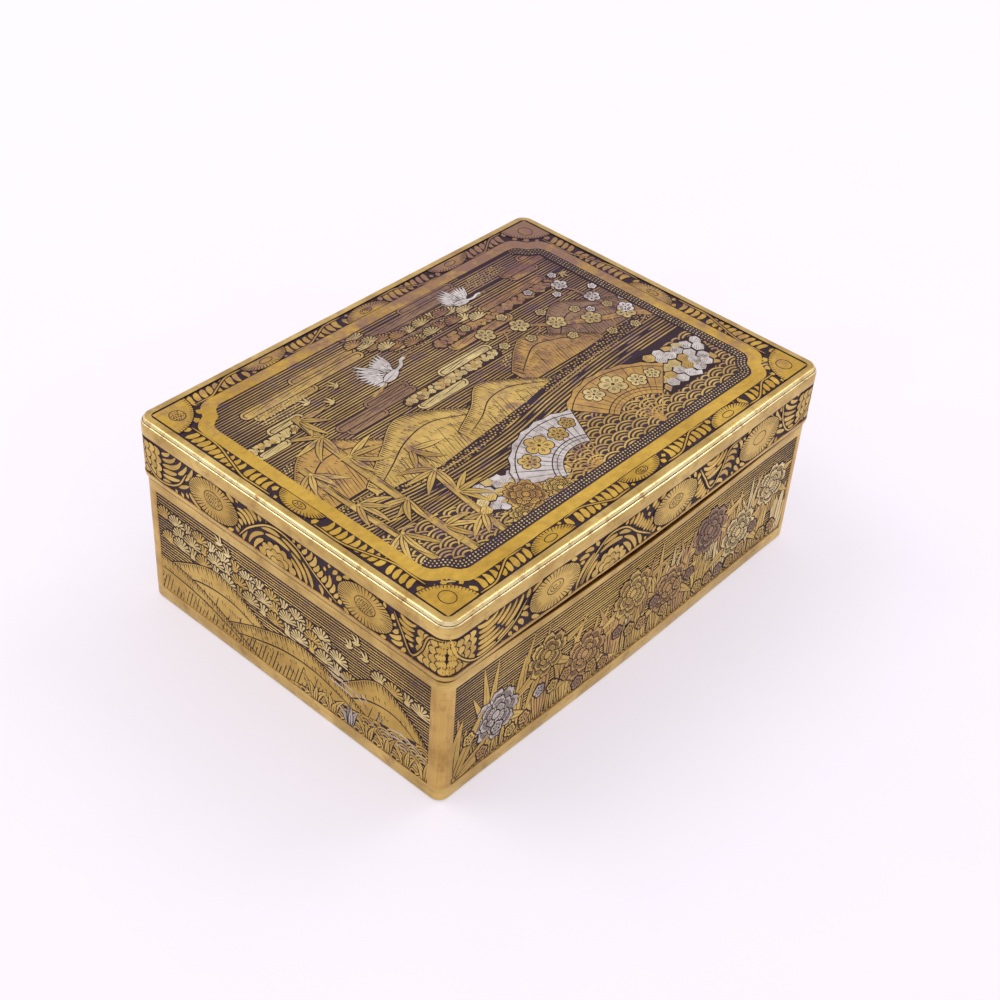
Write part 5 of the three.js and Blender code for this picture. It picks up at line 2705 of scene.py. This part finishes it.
    def _garden(self, work: Motifs) -> None:
        """The bamboo on the left, the plum on the right, the pine at the back, peonies in front.

        Args:
            work: The inlay of this part.
        """
        work.bamboo((-30, -28), (-28, 16), 1.4, 13)
        work.bamboo((-35.5, -28), (-36, 6), 1.1, 13)
        work.bamboo((-24.5, -28), (-20.5, -1), 1.1, 13)
        for root, way, count in (
            ((-28, 15), -60, 4), ((-28.3, 9.5), 205, 4), ((-28.6, 3), -30, 4), ((-20.7, -2), -70, 4),
            ((-21.5, -8), 200, 4), ((-22.7, -14), -25, 4), ((-35.8, 4), -100, 4), ((-29.4, -10), 215, 4),
            ((-29.8, -18), -35, 3), ((-23.7, -20), 205, 3), ((-35.6, -6), -70, 4), ((-35.5, -15), -110, 4),
        ):
            work.spray(root, way, count, 6.0, 15.5, Finish.GOLD)
        bough = [(40, -7), (35, -2), (29, 1), (23, 4.5), (17, 8.5), (9, 11)]
        work.plum(bough, 1.7, 1.8, 14, Finish.PALE_GOLD)
        work.plum([(35, -2), (33, 5), (32, 11), (28, 17)], 1.1, 1.5, 14, Finish.SILVER)
        trunk = work.branch([(-8, 27), (-4, 21.5), (1, 19.5), (8, 19.8), (14, 17.5)], 1.5, 9, Finish.COPPER)
        for k in range(2, len(trunk), 2):
            finish = Finish.RED_GOLD if k % 4 else Finish.PALE_GOLD
            for side in (1, -1):
                spot = (trunk[k][0] + work.rng.uniform(-0.6, 0.6), trunk[k][1] + side * 1.5 - 0.5)
                work.tuft(spot, 1.75, 90, 11 + 1.3 * (k % 3) - 0.5 * side, finish)
        for centre, size, finish in (
            ((-16, -21.5), 3.4, Finish.RED_GOLD),
            ((-11, -24), 2.6, Finish.GOLD),
            ((-19.5, -24.5), 2.4, Finish.GOLD),
        ):
            for way in (30, 150, 260):
                work.spray(centre, way, 2, 5.0, 16, Finish.GOLD)
            work.peony(centre, size, 18, finish)

    def _birds(self, work: Motifs) -> None:
        """The cranes and a few plovers.

        Args:
            work: The inlay of this part.
        """
        work.crane((-9, 13.5), 4.3, 12, 9)
        work.crane((15, 20.5), 3.4, -14, 9)
        for x, y, way in ((-21, 15, 20), (-24, 17.5, 5), (-17.5, 17.8, 30), (35, 15, 160), (31, 13.5, 150)):
            work.plover((x, y), 1.5, way, 14)


@dataclass
class BodyPanels:
    """The pictures in the four sunk panels of the body."""

    sizes: BoxSizes
    walls: BodyWalls

    def build(self, workshop: Workshop) -> None:
        """Builds and seats the four panels.

        Args:
            workshop: Where they are made.
        """
        low, high = self.walls.panel_low, self.walls.panel_high
        ground = self.sizes.body.grown(-self.walls.depth)
        for side in (Side.FRONT, Side.LEFT, Side.BACK, Side.RIGHT):
            work = Motifs(WallChart(ground, side), 301 + side.value, 1.55)
            half = self.walls.panel_half(side)
            work.low, work.high = np.array((-half - 0.1, low - 0.1)), np.array((half + 0.1, high + 0.1))
            edge = np.array([(-half, low), (half, low), (half, high), (-half, high)])
            work.hatch(edge, 0.56, 0, 0.12, 0, Finish.GOLD)
            part = self._flowers if side.is_long else self._shore
            part(work, half, low, high - low)
            workshop.seat(work.piece(workshop, f"panel_{side.name.lower()}"), Body.BODY, Slot.GOLD)

    def _flowers(self, work: Motifs, half: float, low: float, tall: float) -> None:
        """Peonies, broad blades, stems and plum blossoms before a hatched ground.

        Args:
            work: The inlay of the panel.
            half: Half the panel's length.
            low: Its lower edge.
            tall: Its height.
        """
        long = 2 * half
        for k in range(int(long / 1.15)):
            foot = -half + 0.7 + 1.15 * k
            top = low + tall * work.rng.uniform(0.2, 0.42)
            stem = np.array([(foot, low - 0.6), (foot + work.rng.uniform(-0.5, 0.5), top)])
            work.leaf(evenly(stem, 1.5), 0.85, 3)
        for k in range(15):
            foot = -half + 2 + k * (long - 4) / 14
            finish = (Finish.RED_GOLD, Finish.GOLD, Finish.PALE_GOLD if k > 8 else Finish.GOLD)[k % 3]
            work.blades((foot, low - 0.5), tall * work.rng.uniform(0.6, 0.98), 4, 7, 5, finish, 1.6)
        for k in range(12):
            foot = half * (-0.05 + 0.085 * k)
            finish = (Finish.PALE_GOLD, Finish.RED_GOLD, Finish.GOLD)[k % 3]
            work.blades((foot, low + 0.3 * tall), tall * work.rng.uniform(0.5, 0.68), 3, 5, 6.5, finish, 1.1)
        for place, height, size, finish in (
            (0.11, 0.4, 4.9, Finish.SIDE_SILVER), (0.24, 0.64, 4.3, Finish.GOLD),
            (0.35, 0.34, 4.8, Finish.RED_GOLD), (0.48, 0.62, 4.7, Finish.GOLD),
            (0.6, 0.36, 4.6, Finish.RED_GOLD), (0.72, 0.66, 4.6, Finish.COPPER),
            (0.83, 0.36, 4.8, Finish.PALE_GOLD), (0.93, 0.64, 4.2, Finish.PALE_GOLD),
        ):
            centre = (-half + place * long, low + height * tall)
            for way in (205, 250, 325, 15):
                work.spray(centre, way, 1, 9.5, 7.5, Finish.GOLD)
            work.peony(centre, size, 10, finish)
        for way, reach in ((78, 13.0), (58, 12.0), (36, 9.0), (15, 6.5)):
            work.spray((-half + 0.6, low + 0.6), way, 1, reach, 14, Finish.GOLD)
        for k in range(26):
            spot = (-half + 2 + (long - 4) * (k + 0.5) / 26, low + 1.3 + work.rng.random() * tall * 0.3)
            finish = (Finish.GOLD, Finish.RED_GOLD, Finish.SIDE_SILVER if k < 6 else Finish.COPPER)[k % 3]
            work.blossom(spot, 1.3, 20, finish, 72 * work.rng.random())

    def _shore(self, work: Motifs, half: float, low: float, tall: float) -> None:
        """Pines in rows, bare hills, and a bay with waves and plovers.

        Args:
            work: The inlay of the panel.
            half: Half the panel's length.
            low: Its lower edge.
            tall: Its height.
        """

        def at(u: float, v: float) -> Point:
            """A place in the panel, by shares of half its length and of its height."""
            return half * u, low + tall * v

        rows = ((-0.98, 0.3, 0.8), (-0.86, 0.42, 0.7), (0.62, 0.98, 0.82), (-0.95, 0.5, 0.59))
        for row, (first, last, height) in enumerate(rows):
            count = int((last - first) * half / 2.6)
            for k in range(count):
                u = half * (first + (last - first) * (k + 0.5) / count)
                v = low + tall * (height - 0.09 * (u / half + 1)) + work.rng.uniform(-0.3, 0.3)
                finish = Finish.PALE_GOLD if (row + k) % 3 else Finish.GOLD
                work.tuft((u, v), 2.1, 90 + work.rng.uniform(-12, 12), 2 + 1.5 * row + 0.7 * (k % 2), finish)
        for a, b, top, tier in ((-1.1, 0.0, 0.58, 9), (0.25, 1.08, 0.66, 9), (-0.45, 0.62, 0.46, 11)):
            shape = ((0, 0), (0.25, 0.62), (0.5, 1), (0.75, 0.7), (1, 0.1))
            points = [at(a + (b - a) * s, 0.16 + (top - 0.16) * r) for s, r in shape]
            work.hill(points, low - 0.4, tier, Finish.GOLD, 1.7)
        near = [at(-1.05, 0.36), at(-0.7, 0.3), (-half * 0.2, low - 0.2)]
        work.hill(near, low - 0.5, 13, Finish.GOLD, 1.4)
        sea = [(half + 1, low - 1), (half + 1, low + 0.36 * tall), at(0.6, 0.24), (-half * 0.15, low - 1)]
        work.plate(evenly(np.array([*sea, sea[0]]), 1.5)[:-1], 14, Finish.GROUND, halo=0.1)
        work.waves(np.array(sea), 2.0, 15)
        beach = ((0.3, 0.42), (0.5, 0.38), (0.68, 0.22), (0.84, 0.24), (1.0, 0.1))
        work.stream([at(*p) for p in beach], 2.6, 3, 16, Finish.SIDE_SILVER)
        for k in range(7):
            finish = Finish.SIDE_SILVER if k == 2 else Finish.GOLD
            work.blades((half * (0.2 + 0.13 * k), low - 0.3), 4.6, 4, 4, 17, finish)
        for spot in ((0.45, 0.82), (0.5, 0.9), (0.56, 0.8), (-0.5, 0.92), (-0.44, 0.86)):
            work.plover(at(*spot), 1.6, 15, 16)


@dataclass
class Linings:
    """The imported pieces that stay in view, and their finishes."""

    finishes: tuple[tuple[str, Finish], ...] = (
        ("body_lining", Finish.LINING), ("lid_lining", Finish.LINING),
        ("base_plate", Finish.GROUND), ("lid_plate", Finish.GROUND),
    )

    def build(self, workshop: Workshop) -> None:
        """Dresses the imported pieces."""
        for node, finish in self.finishes:
            workshop.dress(node, finish)


@dataclass
class Studio:
    """The pale floor, the soft light and the camera at the photograph's viewing angle.

    Args:
        azimuth: The camera's direction from the box in degrees, 0 in front.
        elevation: Its height over the floor in degrees.
        roll: How far it is tilted, in degrees.
        distance: How far it stands from its aim.
        aim: The point in the middle of the picture.
        focal_pixels: Its focal length, in pixels of a picture as wide as frame_pixels.
        frame_pixels: That width.
        sensor: The sensor's width.
        floor_reach: Half the floor's width in metres.
        floor_count: How many tiles the floor has each way.
    """

    azimuth: float = -50.591
    elevation: float = 39.442
    roll: float = 4.259
    distance: float = 315.35
    aim: tuple[float, float, float] = (14.772, 8.698, 0.0)
    focal_pixels: float = 1736.8
    frame_pixels: float = 1000.0
    sensor: float = 36.0
    floor_reach: float = 3.0
    floor_count: int = 24

    def _camera(self) -> None:
        """Places the camera."""
        az, el, roll = (math.radians(a) for a in (self.azimuth, self.elevation, self.roll))
        away = Vector((math.sin(az) * math.cos(el), -math.cos(az) * math.cos(el), math.sin(el)))
        right = (-away).cross(Vector((0, 0, 1))).normalized()
        up = right.cross(-away)
        across = right * math.cos(roll) + up * math.sin(roll)
        upright = up * math.cos(roll) - right * math.sin(roll)
        data = bpy.data.cameras.new("camera")
        data.sensor_width = self.sensor
        data.lens = self.focal_pixels / self.frame_pixels * self.sensor
        data.clip_start, data.clip_end = 0.01, 20.0
        camera = bpy.data.objects.new("camera", data)
        place = (Vector(self.aim) + away * self.distance) * MILLIMETRE
        turn = Matrix((across, upright, away)).transposed().to_4x4()
        camera.matrix_world = Matrix.Translation(place) @ turn
        bpy.context.scene.collection.objects.link(camera)
        bpy.context.scene.camera = camera

    def _floor(self) -> None:
        """Lays the pale floor."""
        steps = np.linspace(-self.floor_reach, self.floor_reach, self.floor_count + 1)
        verts = [(x, y, 0.0) for y in steps for x in steps]
        row = self.floor_count + 1
        starts = [j * row + i for j in range(self.floor_count) for i in range(self.floor_count)]
        mesh = bpy.data.meshes.new("floor")
        mesh.from_pydata(verts, [], [(a, a + 1, a + row + 1, a + row) for a in starts])
        bench = Bench("pale paper")
        grain = bench.add("TexNoise", {"Scale": 300.0})
        tones = bench.blend(grain, (0.46, 0.425, 0.475), (0.48, 0.445, 0.495))
        glow = {"Emission Color": (0.985, 0.965, 1.0), "Emission Strength": 0.465}
        looks = {"Base Color": tones, "Roughness": 0.9, "Specular IOR Level": 0.1, **glow}
        bench.add("OutputMaterial", {"Surface": bench.add("BsdfPrincipled", looks)})
        mesh.materials.append(bench.material)
        floor = bpy.data.objects.new("floor", mesh)
        bpy.context.scene.collection.objects.link(floor)

    def _light(self, name: str, place: Vector, size: float, power: float, tint: Colour) -> None:
        """Hangs one soft light that looks at the box.

        Args:
            name: Its name.
            place: Where it hangs, in metres.
            size: Its width and height in metres.
            power: Its power in watts.
            tint: Its colour.
        """
        data = bpy.data.lights.new(name, "AREA")
        data.shape = "RECTANGLE"
        data.size = data.size_y = size
        data.energy = power
        data.color = tint
        light = bpy.data.objects.new(name, data)
        light.location = place
        light.rotation_euler = (Vector((0, 0, 0.01)) - place).to_track_quat("-Z", "Y").to_euler()
        bpy.context.scene.collection.objects.link(light)

    def build(self) -> None:
        """Builds the studio."""
        self._camera()
        self._floor()
        world = bpy.data.worlds.new("studio")
        world.use_nodes = True
        background = world.node_tree.nodes["Background"]
        background.inputs["Color"].default_value = (0.985, 0.945, 1.0, 1.0)
        background.inputs["Strength"].default_value = 0.9
        bpy.context.scene.world = world
        self._light("left light", Vector((-0.3, 0.49, 0.82)), 0.55, 2.6, (1.0, 0.98, 0.93))
        self._light("right light", Vector((0.6, -0.15, 0.78)), 0.4, 1.7, (0.96, 0.97, 1.0))
        bpy.context.scene.view_settings.view_transform = "Standard"


def main() -> None:
    """Builds the box and its studio."""
    logging.basicConfig(level=logging.INFO, format="%(message)s")
    workshop = Workshop()
    sizes = BoxSizes.from_frame()
    walls = BodyWalls(sizes)
    walls.build(workshop)
    rim = LidRim(sizes)
    rim.build(workshop)
    Hinge(sizes).build(workshop)
    gold_frame = GoldFrame(sizes)
    gold_frame.build(workshop)
    LidBorder(sizes, gold_frame).build(workshop)
    LidBands(sizes, rim).build(workshop)
    LidPicture(sizes, gold_frame).build(workshop)
    BodyPanels(sizes, walls).build(workshop)
    Linings().build(workshop)
    Studio().build()


if __name__ == "__main__":
    main()
